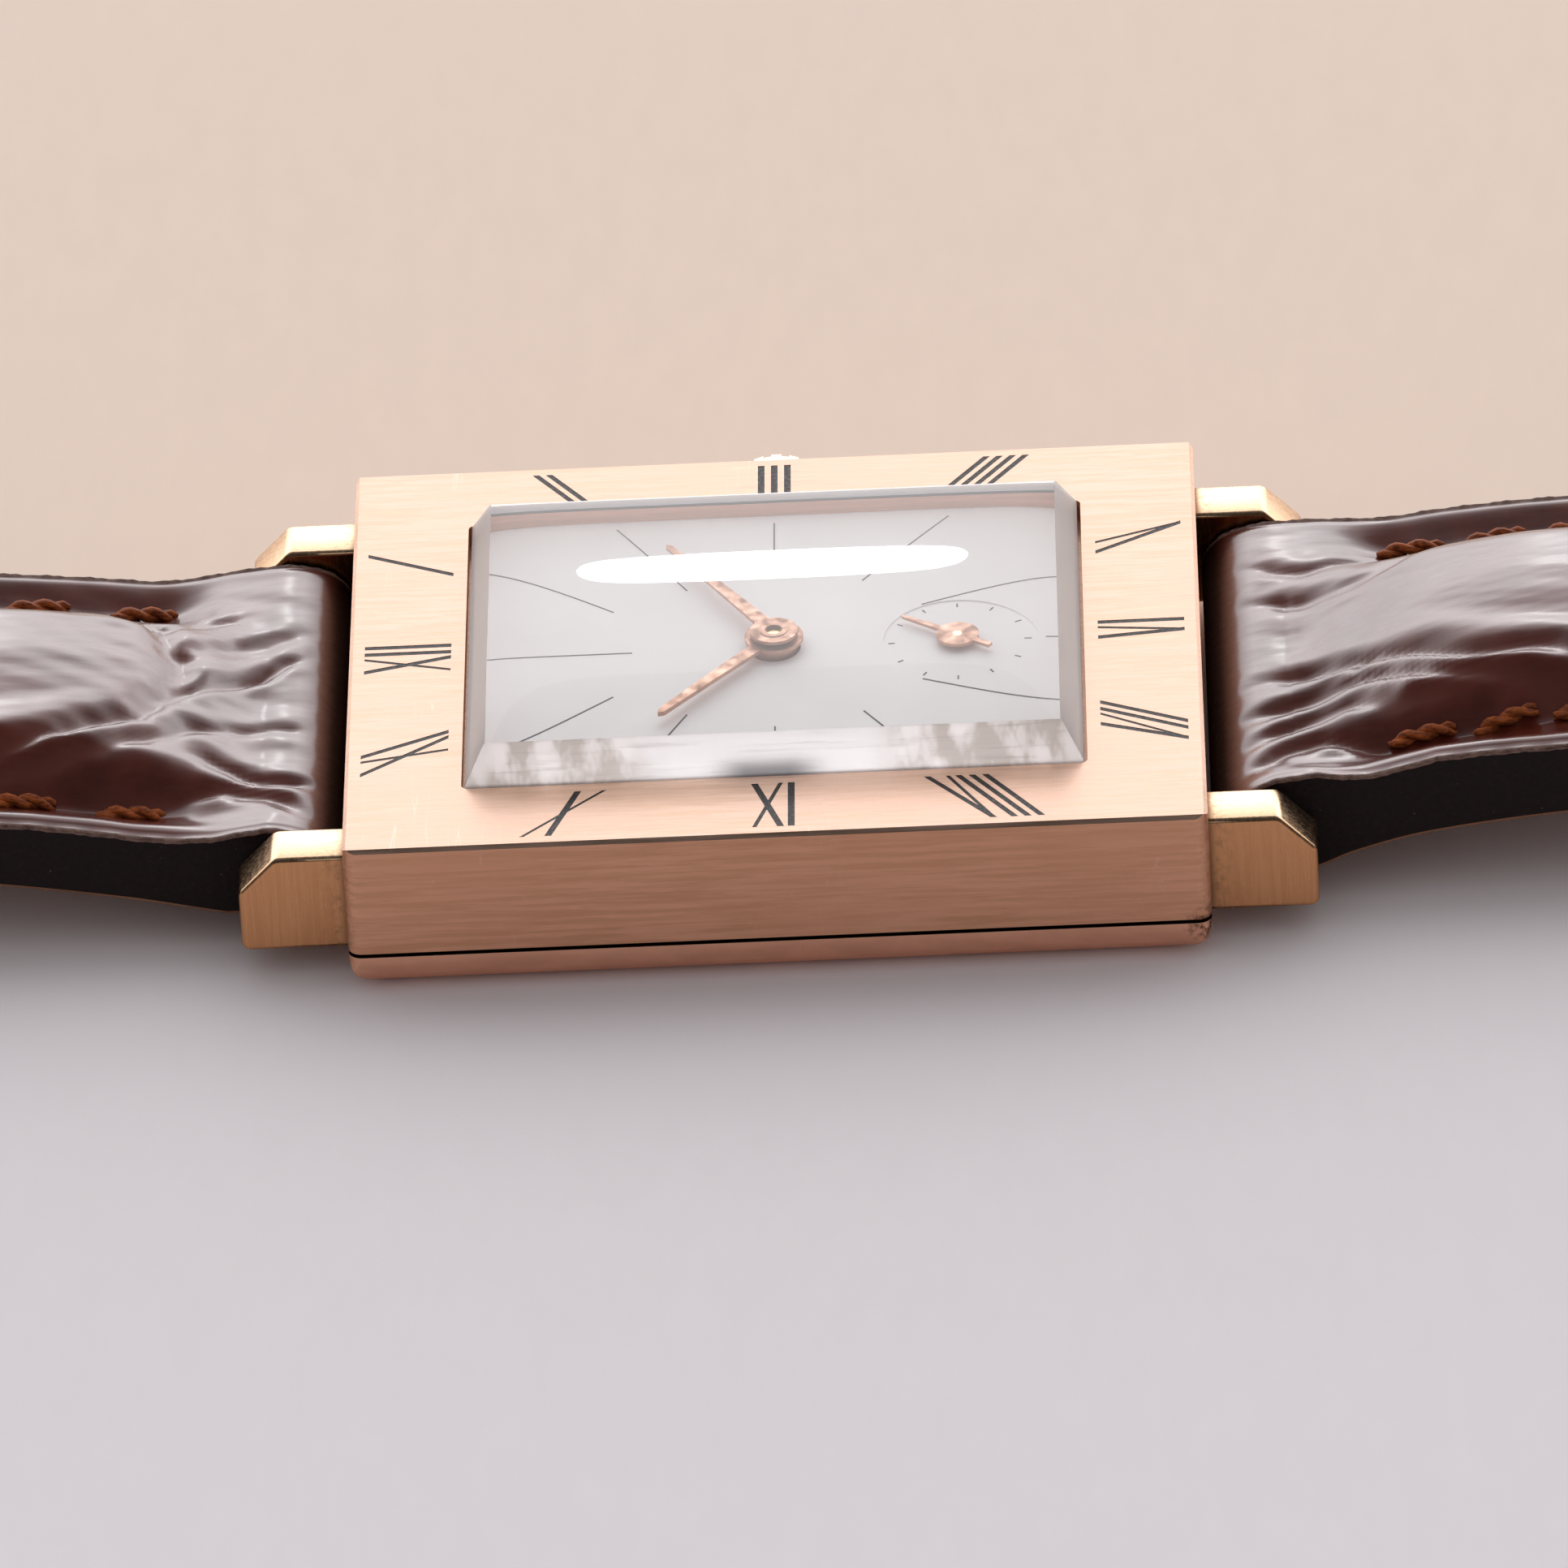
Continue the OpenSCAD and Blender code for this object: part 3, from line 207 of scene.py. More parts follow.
def black_enamel():
    """The enamel in the numerals, with a few pale specks."""
    f = Finish("black_enamel", Specular_IOR_Level=0.2)
    specks = f.grain((9000, 9000, 9000), 3.0)
    f.colour(f.blend(f.level(specks, 0.6, 0.72), (0.012, 0.011, 0.012), (0.09, 0.07, 0.06)))
    f.rough(f.level(specks, 0.3, 0.7, 0.2, 0.45))
    f.bump(specks, 0.004, 0.5)
    return f.material


def clear_crystal(name):
    """Glass that lets lamp light down to the dial."""
    f = Finish(name, Base_Color=(0.97, 0.985, 0.985), Transmission_Weight=1.0, IOR=1.5)
    f.rough(f.level(f.grain((3000, 3000, 3000), 2.0), 0.6, 0.85, 0.0, 0.02))
    clear = f.add("BsdfTransparent", Color=(0.95, 0.95, 0.95, 1))
    paths = f.tree.nodes.new("ShaderNodeLightPath")
    lit = f.maths("MAXIMUM", paths.outputs["Is Shadow Ray"], paths.outputs["Is Diffuse Ray"])
    f.end(f.add("MixShader", i0=lit, i1=f.surface.outputs[0], i2=clear))
    return f


def plain_underside(name):
    """The crystal's flat underside, which only lets light through."""
    f = clear_crystal(name)
    bent = f.add("BsdfRefraction", Color=(0.97, 0.98, 0.98, 1), IOR=1.5)
    f.put(f.result.links[0].from_node.inputs[1], bent)
    return f


def bevel_with_painted_light(name):
    """The crystal's bevels: the same glass, almost all turned milky white with fine polishing lines, a
    painted light that stands in for the bright room seen through them.

    The bevel towards 9 o'clock carries a painted reflection, a bright arched band with a dark centre, and
    painted shade on its sides; its translucent light is raised above white, a painted glow.
    """
    f = clear_crystal(name)
    glass = f.result.links[0].from_socket
    at_end = f.level(f.maths("ABSOLUTE", f.axis("X", f.coords.outputs["Normal"])), 0.5, 0.7)
    not_near = f.level(f.axis("Y"), -7.4 * MM, -7.0 * MM)
    plain = f.maths("MAXIMUM", at_end, not_near)
    across = f.maths("ABSOLUTE", f.maths("ADD", f.axis("X"), 0.2 * MM))
    broad = f.grain((900, 500, 500), 3.0, 0.6, turn=(0, 0, 0.5))
    # Painted shade on the sides of the near bevel
    painted_flank_shade = f.blend(f.level(broad, 0.42, 0.58), (0.64, 0.595, 0.555), (1.0, 0.985, 0.97))
    # Painted reflection: a bright band across the middle of the near bevel
    painted_bright_reflection = f.maths("SUBTRACT", 1.0, f.level(across, 3.0 * MM, 5.2 * MM, smooth=True))
    tint = f.blend(painted_bright_reflection, painted_flank_shade, (1.0, 1.0, 1.0))
    # Painted reflection: a dark centre low in that band
    painted_dark_reflection = f.maths("MULTIPLY", f.level(across, 0.6 * MM, 2.2 * MM, 1.0, 0.0, smooth=True),
                     f.level(f.axis("Z"), 5.3 * MM, 5.9 * MM, 1.0, 0.0, smooth=True))
    tint = f.blend(f.maths("MULTIPLY", painted_dark_reflection, 0.8), tint, (0.13, 0.125, 0.135))
    lines = f.grain((300, 6500, 6500), 5.0, 0.65)
    tint = f.blend(f.level(lines, 0.3, 0.48, 0.45, 0.0), tint, (0.42, 0.40, 0.39))
    tint = f.blend(plain, tint, (1.0, 0.985, 0.975))
    # Painted glow: the near bevel's translucent light is raised above white
    painted_glow_gain = f.blend(plain, (1.25, 1.26, 1.27), (1.0, 1.0, 1.0))
    through = f.level(f.axis("Z"), 5.2 * MM, 5.3 * MM, 0.15, 0.92)
    cloudy_painted_light = f.add("MixShader", i0=through, i1=f.add("BsdfPrincipled", Base_Color=tint, Roughness=0.25),
                   i2=f.add("BsdfTranslucent", Color=f.blend(1.0, tint, painted_glow_gain, "MULTIPLY")))
    # The painted light covers 94 to 99 percent of each bevel, three quarters at its ends; the rest is clear
    # glass
    scuffs_and_painted_light = f.level(f.grain((300, 3800, 3800), 4.0), 0.3, 0.6, 0.94, 0.99)
    f.end(f.add("MixShader", i0=f.between(at_end, scuffs_and_painted_light, 0.75), i1=glass, i2=cloudy_painted_light))
    return f


def silvered_dial():
    """Fine frosted silver."""
    f = Finish("silvered_dial", Metallic=0.0, Specular_IOR_Level=0.3)
    frost = f.grain((26000, 26000, 26000), 3.0, 0.7)
    cloud = f.grain((220, 220, 220), 3.0)
    f.colour(f.blend(f.level(cloud, 0.35, 0.7), (0.92, 0.89, 0.885), (0.985, 0.965, 0.96)))
    f.rough(f.level(frost, 0.3, 0.7, 0.5, 0.65))
    f.bump(frost, 0.003, 0.5)
    return f.material


def striped_plate():
    """Plated movement parts with soft parallel stripes."""
    f = Finish("striped_plate", Metallic=1.0)
    wave = f.add("TexWave", out="Fac", settings={"bands_direction": "DIAGONAL"},
                 Vector=f.stretched((1, 1, 0)), Scale=260.0, Distortion=0.4, Detail=2.0)
    fine = f.grain((9000, 1200, 9000), 3.0)
    f.colour(f.blend(wave, (0.62, 0.58, 0.49), (0.78, 0.75, 0.66)))
    f.rough(f.level(fine, 0.3, 0.7, 0.2, 0.38))
    f.bump(fine, 0.004, 0.5)
    return f.material


def glazed_leather():
    """Glossy scaled leather: dark tops, red-brown where it is creased or turned under, and a painted shade,
    nearly black, where the loop turns in beside the case.
    """
    f = Finish("glazed_leather", Coat_Roughness=0.2, Coat_IOR=1.88)
    crease = f.attribute("crease")
    rubbed_and_shaded = f.attribute("rubbed_and_shaded")
    cloud = f.grain((420, 260, 420), 4.0, 0.6)
    fibre = f.grain((600, 4200, 4200), 4.0, 0.6)
    tone = f.blend(f.level(cloud, 0.35, 0.7), (0.072, 0.0105, 0.0055), (0.130, 0.0200, 0.0095))
    tone = f.blend(f.level(fibre, 0.5, 0.8, 0.0, 0.4), tone, (0.125, 0.026, 0.014))
    tone = f.blend(f.maths("MULTIPLY", crease, 0.75), tone, (0.145, 0.034, 0.021))
    # Rubbed red-brown, then painted shade going nearly black where the loop goes in beside the case, with its
    # gloss taken off there
    tone = f.blend(f.level(rubbed_and_shaded, 0.0, 0.45), tone, (0.105, 0.019, 0.009))
    tone = f.blend(f.level(rubbed_and_shaded, 0.45, 0.95), tone, (0.012, 0.004, 0.003))
    f.feed("Coat Weight", f.level(rubbed_and_shaded, 0.1, 0.9, 1.0, 0.02))
    f.feed("Specular IOR Level", f.level(rubbed_and_shaded, 0.1, 0.9, 0.22, 0.05))
    f.colour(tone)
    f.rough(f.maths("ADD", f.level(fibre, 0.3, 0.7, 0.26, 0.4), f.maths("MULTIPLY", rubbed_and_shaded, 0.2)))
    fine = f.grain((2600, 2600, 2600), 3.0)
    height = f.maths("ADD", f.maths("MULTIPLY", fibre, 0.55), f.maths("MULTIPLY", fine, 0.45))
    f.bump(height, 0.03, 0.4)
    return f.material


def edge_paint():
    """The nearly black paint on the strap's sides, a little dusty."""
    f = Finish("edge_paint", Specular_IOR_Level=0.15)
    dust = f.grain((5200, 5200, 5200), 4.0, 0.7)
    specks = f.grain((7800, 7800, 7800), 2.0, 0.6)
    tone = f.blend(f.level(dust, 0.4, 0.7), (0.010, 0.0055, 0.0055), (0.020, 0.012, 0.012))
    f.colour(f.blend(f.level(specks, 0.72, 0.8, 0.0, 0.6), tone, (0.20, 0.16, 0.13)))
    f.rough(f.level(dust, 0.3, 0.7, 0.5, 0.75))
    f.bump(dust, 0.03, 0.5)
    return f.material


def raw_lip():
    """The thin cut edge of the leather above the painted side."""
    f = Finish("raw_lip", Specular_IOR_Level=0.5)
    fray = f.grain((3800, 6000, 6000), 4.0, 0.7)
    f.colour(f.blend(f.level(fray, 0.35, 0.65), (0.07, 0.028, 0.02), (0.21, 0.12, 0.09)))
    f.rough(f.level(fray, 0.3, 0.7, 0.35, 0.7))
    f.bump(fray, 0.05, 0.7)
    return f.material


def calf_lining():
    """Plain tan leather with fine pores."""
    f = Finish("calf_lining", Specular_IOR_Level=0.4)
    pores = f.add("TexVoronoi", out="Distance", Vector=f.stretched((5200, 5200, 5200)), Scale=1.0)
    cloud = f.grain((300, 300, 300), 4.0)
    f.colour(f.blend(f.level(cloud, 0.35, 0.7), (0.21, 0.085, 0.035), (0.30, 0.13, 0.055)))
    f.rough(f.level(pores, 0.0, 0.7, 0.6, 0.45))
    f.bump(pores, 0.03, 0.5)
    return f.material


def waxed_thread():
    """Rust-brown thread with its strands."""
    f = Finish("waxed_thread", Sheen_Weight=0.05, Specular_IOR_Level=0.25)
    strands = f.grain((2600, 9500, 9500), 4.0, 0.65, turn=(0, 0, 0.6))
    f.colour(f.blend(f.level(strands, 0.35, 0.65), (0.11, 0.020, 0.003), (0.45, 0.105, 0.016)))
    f.rough(f.level(strands, 0.3, 0.7, 0.45, 0.7))
    f.bump(strands, 0.05, 0.7)
    return f.material


def printed_ink():
    """The dark print of the dial."""
    f = Finish("printed_ink", Specular_IOR_Level=0.4)
    edge = f.grain((12000, 12000, 12000), 2.0)
    f.colour(f.blend(edge, (0.03, 0.03, 0.035), (0.07, 0.07, 0.075)))
    f.rough(f.level(edge, 0.3, 0.7, 0.4, 0.6))
    return f.material


def table_paper():
    """The pale table: lilac grey in front of the watch, warm beige behind it."""
    f = Finish("table_paper", Specular_IOR_Level=0.25)
    back = f.level(f.axis("Y"), -8 * MM, 14 * MM, smooth=True)
    far = f.level(f.axis("Y"), 20 * MM, 90 * MM, smooth=True)
    tone = f.blend(back, (0.84, 0.81, 0.835), (0.94, 0.78, 0.655))
    tone = f.blend(far, tone, (0.96, 0.80, 0.685))
    paper = f.grain((900, 260, 900), 4.0, 0.6)
    f.colour(f.blend(f.level(paper, 0.3, 0.7, 0.0, 0.05), tone, (0.58, 0.54, 0.55)))
    f.rough(f.level(paper, 0.3, 0.7, 0.75, 0.9))
    f.bump(paper, 0.012, 0.35)
    return f.material


# The side colours are painted shade: they darken the standing faces of the gold
FIN = {
    "case": brushed_gold("brushed_rose_gold", (0.96, 0.72, 0.585), (0.74, 0.52, 0.385), (300, 4600, 7000),
                         side=(0.80, 0.59, 0.47), rough=(0.42, 0.58), end_lines=(6000, 300, 7000),
                         dirt=seam_grime),
    "back": brushed_gold("smooth_back_gold", (0.96, 0.72, 0.585), (0.88, 0.64, 0.51), (500, 1300, 1300),
                         side=(0.90, 0.665, 0.56), rough=(0.42, 0.55), depth=0.004, dirt=seam_grime),
    "lug": brushed_gold("brushed_lug_gold", (0.93, 0.68, 0.44), (0.84, 0.59, 0.37), (6500, 6500, 260),
                        side=(0.66, 0.45, 0.335), rough=(0.2, 0.34), depth=0.006, dirt=joint_dirt),
    "crown": polished("polished_crown_gold", (0.93, 0.70, 0.48)),
    "buckle": polished("polished_buckle_gold", (0.93, 0.70, 0.48), 0.2),
    "hand": polished("pink_hand_gold", (0.72, 0.43, 0.31), 0.5),
    "enamel": black_enamel(),
    "crystal": clear_crystal("crystal_top").material,
    "bevel": bevel_with_painted_light("crystal_bevel").material,
    "underside": plain_underside("crystal_underside").material,
    "dial": silvered_dial(),
    "plate": striped_plate(),
    "brass": polished("wheel_brass", (0.83, 0.62, 0.26), 0.22),
    "steel": polished("polished_steel", (0.60, 0.61, 0.63), 0.2),
    "blued": polished("blued_steel", (0.03, 0.055, 0.22), 0.18),
    "ruby": polished("ruby_stone", (0.55, 0.012, 0.05), 0.08, metallic=0.0),
    "leather": glazed_leather(),
    "paint": edge_paint(),
    "lip": raw_lip(),
    "lining": calf_lining(),
    "thread": waxed_thread(),
    "ink": printed_ink(),
    "table": table_paper(),
}
SLOT_FINISH = {
    "rose_gold": "case", "lug_gold": "lug", "crown_gold": "crown", "buckle_gold": "buckle",
    "hand_gold": "hand", "crystal": "crystal", "black_enamel": "enamel", "dial_silver": "dial",
    "plate": "plate", "wheel_brass": "brass", "steel": "steel", "blue_steel": "blued", "ruby": "ruby",
    "strap_leather": "leather",
}
for part in frame["record"]["subparts"]:
    node = frame["nodes"][part["node"]]
    node.data.materials.clear()
    node.data.materials.append(FIN[SLOT_FINISH[part["material_slot"]]])
for pipe in ("hour_wheel", "cannon_pinion"):  # their tops show in the hands' middle
    frame["nodes"][pipe].data.materials[0] = FIN["hand"]
frame["nodes"]["case_back"].data.materials[0] = FIN["back"]


# Making pieces

def piece(name, points, faces, finishes, finish_of=None, sharp=None):
    """A smooth-shaded mesh from points in millimetres.

    finish_of gives each face its place in finishes, and edges steeper than sharp degrees stay crisp.
    """
    mesh = bpy.data.meshes.new(name)
    mesh.from_pydata([tuple(c * MM for c in p) for p in points], [], faces)
    for f in finishes:
        mesh.materials.append(FIN[f])
    if finish_of is not None:
        mesh.polygons.foreach_set("material_index", finish_of)
    mesh.polygons.foreach_set("use_smooth", [True] * len(mesh.polygons))
    if sharp is not None:
        mesh.set_sharp_from_angle(angle=math.radians(sharp))
    mesh.update()
    obj = bpy.data.objects.new(name, mesh)
    bpy.context.scene.collection.objects.link(obj)
    return obj


def settle(obj, body, slot, *nodes):
    """Puts a piece on its body, in place of the solids it stands for; slot is not used."""
    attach(obj, body)
    if nodes:
        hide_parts(*nodes)


def outward(obj):
    """Turns every face's normal out of the piece."""
    bm = bmesh.new()
    bm.from_mesh(obj.data)
    bmesh.ops.recalc_face_normals(bm, faces=bm.faces)
    bm.to_mesh(obj.data)
    bm.free()


def bake(obj):
    """Turns an object's modifiers into a plain mesh."""
    mesh = bpy.data.meshes.new_from_object(obj.evaluated_get(bpy.context.evaluated_depsgraph_get()))
    obj.modifiers.clear()
    obj.data = mesh


def rounded_outline(corners, steps=6):
    """A closed outline from (across, up, radius) corners, with an arc at each."""
    points = []
    n = len(corners)
    for i, (x, z, r) in enumerate(corners):
        here = Vector((x, z))
        back = (Vector(corners[i - 1][:2]) - here).normalized()
        on = (Vector(corners[(i + 1) % n][:2]) - here).normalized()
        half = back.angle(on) / 2
        centre = here + (back + on).normalized() * (r / math.sin(half))
        start = here + back * (r / math.tan(half)) - centre
        end = here + on * (r / math.tan(half)) - centre
        a0 = math.atan2(start.y, start.x)
        sweep = (math.atan2(end.y, end.x) - a0 + math.pi) % (2 * math.pi) - math.pi
        for k in range(steps + 1):
            t = a0 + sweep * k / steps
            points.append((centre.x + r * math.cos(t), centre.y + r * math.sin(t)))
    return points


def eased_prism(name, outline, y0, y1, ease, finish, steps=4):
    """The outline run from y0 to y1, with both ends rounded over by ease."""
    n = len(outline)
    inward = []
    for i in range(n):
        tangent = Vector(outline[(i + 1) % n]) - Vector(outline[i - 1])
        inward.append(Vector((-tangent.y, tangent.x)).normalized())
    rings = []
    for k in range(steps + 1):
        t = math.pi / 2 * k / steps
        rings.append((y0 + ease * (1 - math.cos(t)), ease * (1 - math.sin(t))))
    rings += [(y0 + y1 - y, inset) for y, inset in reversed(rings)]
    points = [(p[0] + q.x * inset, y, p[1] + q.y * inset)
              for y, inset in rings for p, q in zip(outline, inward)]
    faces = []
    for k in range(len(rings) - 1):
        for i in range(n):
            a, b = k * n + i, k * n + (i + 1) % n
            faces.append((a, a + n, b + n, b))
    faces += [tuple(range(n)), tuple(range(len(points) - 1, len(points) - n - 1, -1))]
    obj = piece(name, points, faces, [finish])
    obj.data.polygons[-1].use_smooth = obj.data.polygons[-2].use_smooth = False
    outward(obj)
    return obj


# Case, crystal and dial

def lug_piece(node, sx, sy):
    """A lug with a chamfered outer end and soft polished edges."""
    inner, wide = 9.15, 1.95
    low, top = 0.95, 4.25
    out, cut = 3.45, 1.2
    root = 0.2
    x0, x1 = CASE_L / 2 - root, CASE_L / 2 + out
    outline = rounded_outline([(x0, low, 0.05), (x1, low, 0.28), (x1, top - cut, 0.35), (x1 - cut, top, 0.4),
                               (x0, top, 0.05)])
    outline = [(sx * x, z) for x, z in outline]
    if sx < 0:
        outline.reverse()
    y0, y1 = sorted((sy * inner, sy * (inner + wide)))
    settle(eased_prism(node + "_eased", outline, y0, y1, 0.15, "lug"), "case", "lug_gold", node)


def crystal_piece():
    """A thick glass with straight bevels and a low dome, cut off flat below."""
    half_l, half_w = 9.88, 8.63
    lean, rise = 0.649, 0.35
    z_low, z_frame, z_top = 4.5, 5.25, 6.40
    top_l, top_w = half_l - lean, half_w - lean
    ease = 0.045
    nx, ny = 40, 36
    us = [math.sin(math.pi / 2 * (-1 + 2 * i / nx)) for i in range(nx + 1)]
    vs = [math.sin(math.pi / 2 * (-1 + 2 * j / ny)) for j in range(ny + 1)]

    def ring_points(hx, hy, z):
        pts = [(hx * u, -hy, z) for u in us[:-1]] + [(hx, hy * v, z) for v in vs[:-1]]
        pts += [(hx * u, hy, z) for u in us[:0:-1]] + [(-hx, hy * v, z) for v in vs[:0:-1]]
        return pts

    points, faces, kind = [], [], []
    top = {}
    for j, v in enumerate(vs):
        for i, u in enumerate(us):
            top[i, j] = len(points)
            dome = rise * (1 - 0.6 * u**8) * (1 - v * v)
            points.append(((top_l - ease) * u, (top_w - ease) * v, z_top + 0.012 + dome))
    for j in range(ny):
        for i in range(nx):
            faces.append((top[i, j], top[i + 1, j], top[i + 1, j + 1], top[i, j + 1]))
            kind.append(0)
    edge = [top[i, 0] for i in range(nx)] + [top[nx, j] for j in range(ny)]
    edge += [top[i, ny] for i in range(nx, 0, -1)] + [top[0, j] for j in range(ny, 0, -1)]
    n = len(edge)
    rings = [edge]
    for hx, hy, z in ((top_l + 0.01, top_w + 0.01, z_top - 0.03),
                      (half_l - 0.02, half_w - 0.02, z_frame + 0.03), (half_l, half_w, z_frame - 0.03),
                      (half_l, half_w, z_low + 0.03), (half_l - 0.03, half_w - 0.03, z_low)):
        rings.append(list(range(len(points), len(points) + n)))
        points += ring_points(hx, hy, z)
    for upper, lower in zip(rings, rings[1:]):
        for k in range(n):
            faces.append((upper[k], lower[k], lower[(k + 1) % n], upper[(k + 1) % n]))
            kind.append(1)
    faces.append(tuple(reversed(rings[-1])))
    kind.append(2)
    obj = piece("domed_crystal", points, faces, ["crystal", "bevel", "underside"], kind, sharp=30)
    settle(obj, "case", "crystal", "crystal")


def new_tree(name, *inputs):
    """An empty geometry tree with a geometry input and output and the named inputs."""
    tree = bpy.data.node_groups.new(name, "GeometryNodeTree")
    tree.interface.new_socket("Geometry", in_out="INPUT", socket_type="NodeSocketGeometry")
    for label, kind in inputs:
        tree.interface.new_socket(label, in_out="INPUT", socket_type="NodeSocket" + kind)
    tree.interface.new_socket("Geometry", in_out="OUTPUT", socket_type="NodeSocketGeometry")
    return tree, tree.nodes.new("NodeGroupInput"), tree.nodes.new("NodeGroupOutput")


def tree_node(tree, kind, settings=None, **inputs):
    """Adds a geometry node with its settings and its inputs, plain or linked."""
    node = tree.nodes.new(kind)
    for key, value in (settings or {}).items():
        setattr(node, key, value)
    for key, value in inputs.items():
        socket = node.inputs[key.replace("_", " ")]
        if isinstance(value, bpy.types.NodeSocket):
            tree.links.new(value, socket)
        else:
            socket.default_value = value
    return node


def stitch_tree():
    """Sets one stitch on every pitch of a seam line, each turned a little by chance."""
    tree, start, end = new_tree("stitch_row", ("Pitch", "Float"), ("Stitch", "Object"),
                                ("Finish", "Material"), ("Seed", "Int"))
    line = tree_node(tree, "GeometryNodeMeshToCurve", Mesh=start.outputs["Geometry"])
    marks = tree_node(tree, "GeometryNodeCurveToPoints", {"mode": "LENGTH"}, Curve=line.outputs[0],
                      Length=start.outputs["Pitch"])
    facing = tree_node(tree, "FunctionNodeAlignRotationToVector", {"axis": "X"},
                       Vector=marks.outputs["Tangent"])
    one = tree_node(tree, "GeometryNodeObjectInfo", Object=start.outputs["Stitch"])
    row = tree_node(tree, "GeometryNodeInstanceOnPoints", Points=marks.outputs[0],
                    Instance=one.outputs["Geometry"], Rotation=facing.outputs[0])
    chance = tree_node(tree, "FunctionNodeRandomValue", {"data_type": "FLOAT_VECTOR"},
                       Seed=start.outputs["Seed"])
    chance.inputs[0].default_value = (-0.12, -0.05, 0.02)
    chance.inputs[1].default_value = (0.12, 0.05, 0.14)
    turned = tree_node(tree, "GeometryNodeRotateInstances", Instances=row.outputs[0],
                       Rotation=chance.outputs[0])
    real = tree_node(tree, "GeometryNodeRealizeInstances", Geometry=turned.outputs[0])
    done = tree_node(tree, "GeometryNodeSetMaterial", Geometry=real.outputs[0],
                     Material=start.outputs["Finish"])
    tree.links.new(done.outputs[0], end.inputs[0])
    return tree


def hour_line_tree():
    """Prints a thin flat line along every edge of a drawing."""
    tree, start, end = new_tree("printed_lines", ("Width", "Float"), ("Finish", "Material"))
    lines = tree_node(tree, "GeometryNodeMeshToCurve", Mesh=start.outputs["Geometry"])
    level = tree_node(tree, "GeometryNodeSetCurveNormal", {"mode": "Z_UP"}, Curve=lines.outputs[0])
    shape = tree_node(tree, "GeometryNodeCurvePrimitiveQuadrilateral", Width=start.outputs["Width"],
                      Height=0.012 * MM)
    solid = tree_node(tree, "GeometryNodeCurveToMesh", Curve=level.outputs[0],
                      Profile_Curve=shape.outputs[0], Fill_Caps=True)
    real = tree_node(tree, "GeometryNodeRealizeInstances", Geometry=solid.outputs[0])
    done = tree_node(tree, "GeometryNodeSetMaterial", Geometry=real.outputs[0],
                     Material=start.outputs["Finish"])
    tree.links.new(done.outputs[0], end.inputs[0])
    return tree


def grow(obj, tree, **values):
    """Runs a geometry tree on an object with its named inputs and keeps the plain mesh."""
    step = obj.modifiers.new("grow", "NODES")
    step.node_group = tree
    for item in tree.interface.items_tree:
        if item.in_out == "INPUT" and item.name in values:
            step[item.identifier] = values[item.name]
    bake(obj)


def line_drawing(name, strips):
    """Bare edges through each strip of points in millimetres."""
    mesh = bpy.data.meshes.new(name)
    points, edges = [], []
    for strip in strips:
        edges += [(len(points) + i, len(points) + i + 1) for i in range(len(strip) - 1)]
        points += [tuple(c * MM for c in p) for p in strip]
    mesh.from_pydata(points, edges, [])
    obj = bpy.data.objects.new(name, mesh)
    bpy.context.scene.collection.objects.link(obj)
    return obj


def dial_print():
    """The twelve hour lines and the small seconds ring, standing a hair above the dial."""
    z = DIAL_TOP + 0.002
    paired = [((0, 4.5), (0, 7.9)), ((2.86, 3.85), (5.69, 7.9)), ((-2.83, 3.66), (-5.14, 7.9)),
              ((4.77, 2.2), (9.3, 4.1)), ((-5.2, 2.5), (-9.3, 5.85))]
    strips = [[(x, s * y, z) for x, y in line] for line in paired for s in (-1, 1)]
    strips += [[(-4.6, 0, z), (-9.3, 0, z)], [(8.5, 0, z), (9.3, 0, z)]]
    seconds_x, inner, outer = 5.9, 2.02, 2.22
    sunk = z - 0.04
    marks = [[(seconds_x + r * math.cos(t), r * math.sin(t), sunk) for r in (inner, outer)]
             for t in (math.pi / 6 * k for k in range(12))]
    printed = hour_line_tree()
    for name, drawing, width in (("hour_lines", strips, 0.055), ("seconds_marks", marks, 0.05)):
        obj = line_drawing(name, drawing)
        grow(obj, printed, Width=width * MM, Finish=FIN["ink"])
        settle(obj, "case", "black_enamel")


for lug, sx, sy in (("lug_1", -1, 1), ("lug_4", 1, 1), ("lug_7", 1, -1), ("lug_10", -1, -1)):
    lug_piece(lug, sx, sy)
crystal_piece()
dial_print()


# Strap

HALF = 9.0
LOOP = 1.93
NOSE = 0.9  # where the top of the loop is reached
TURN = 6.283  # once round, in radians
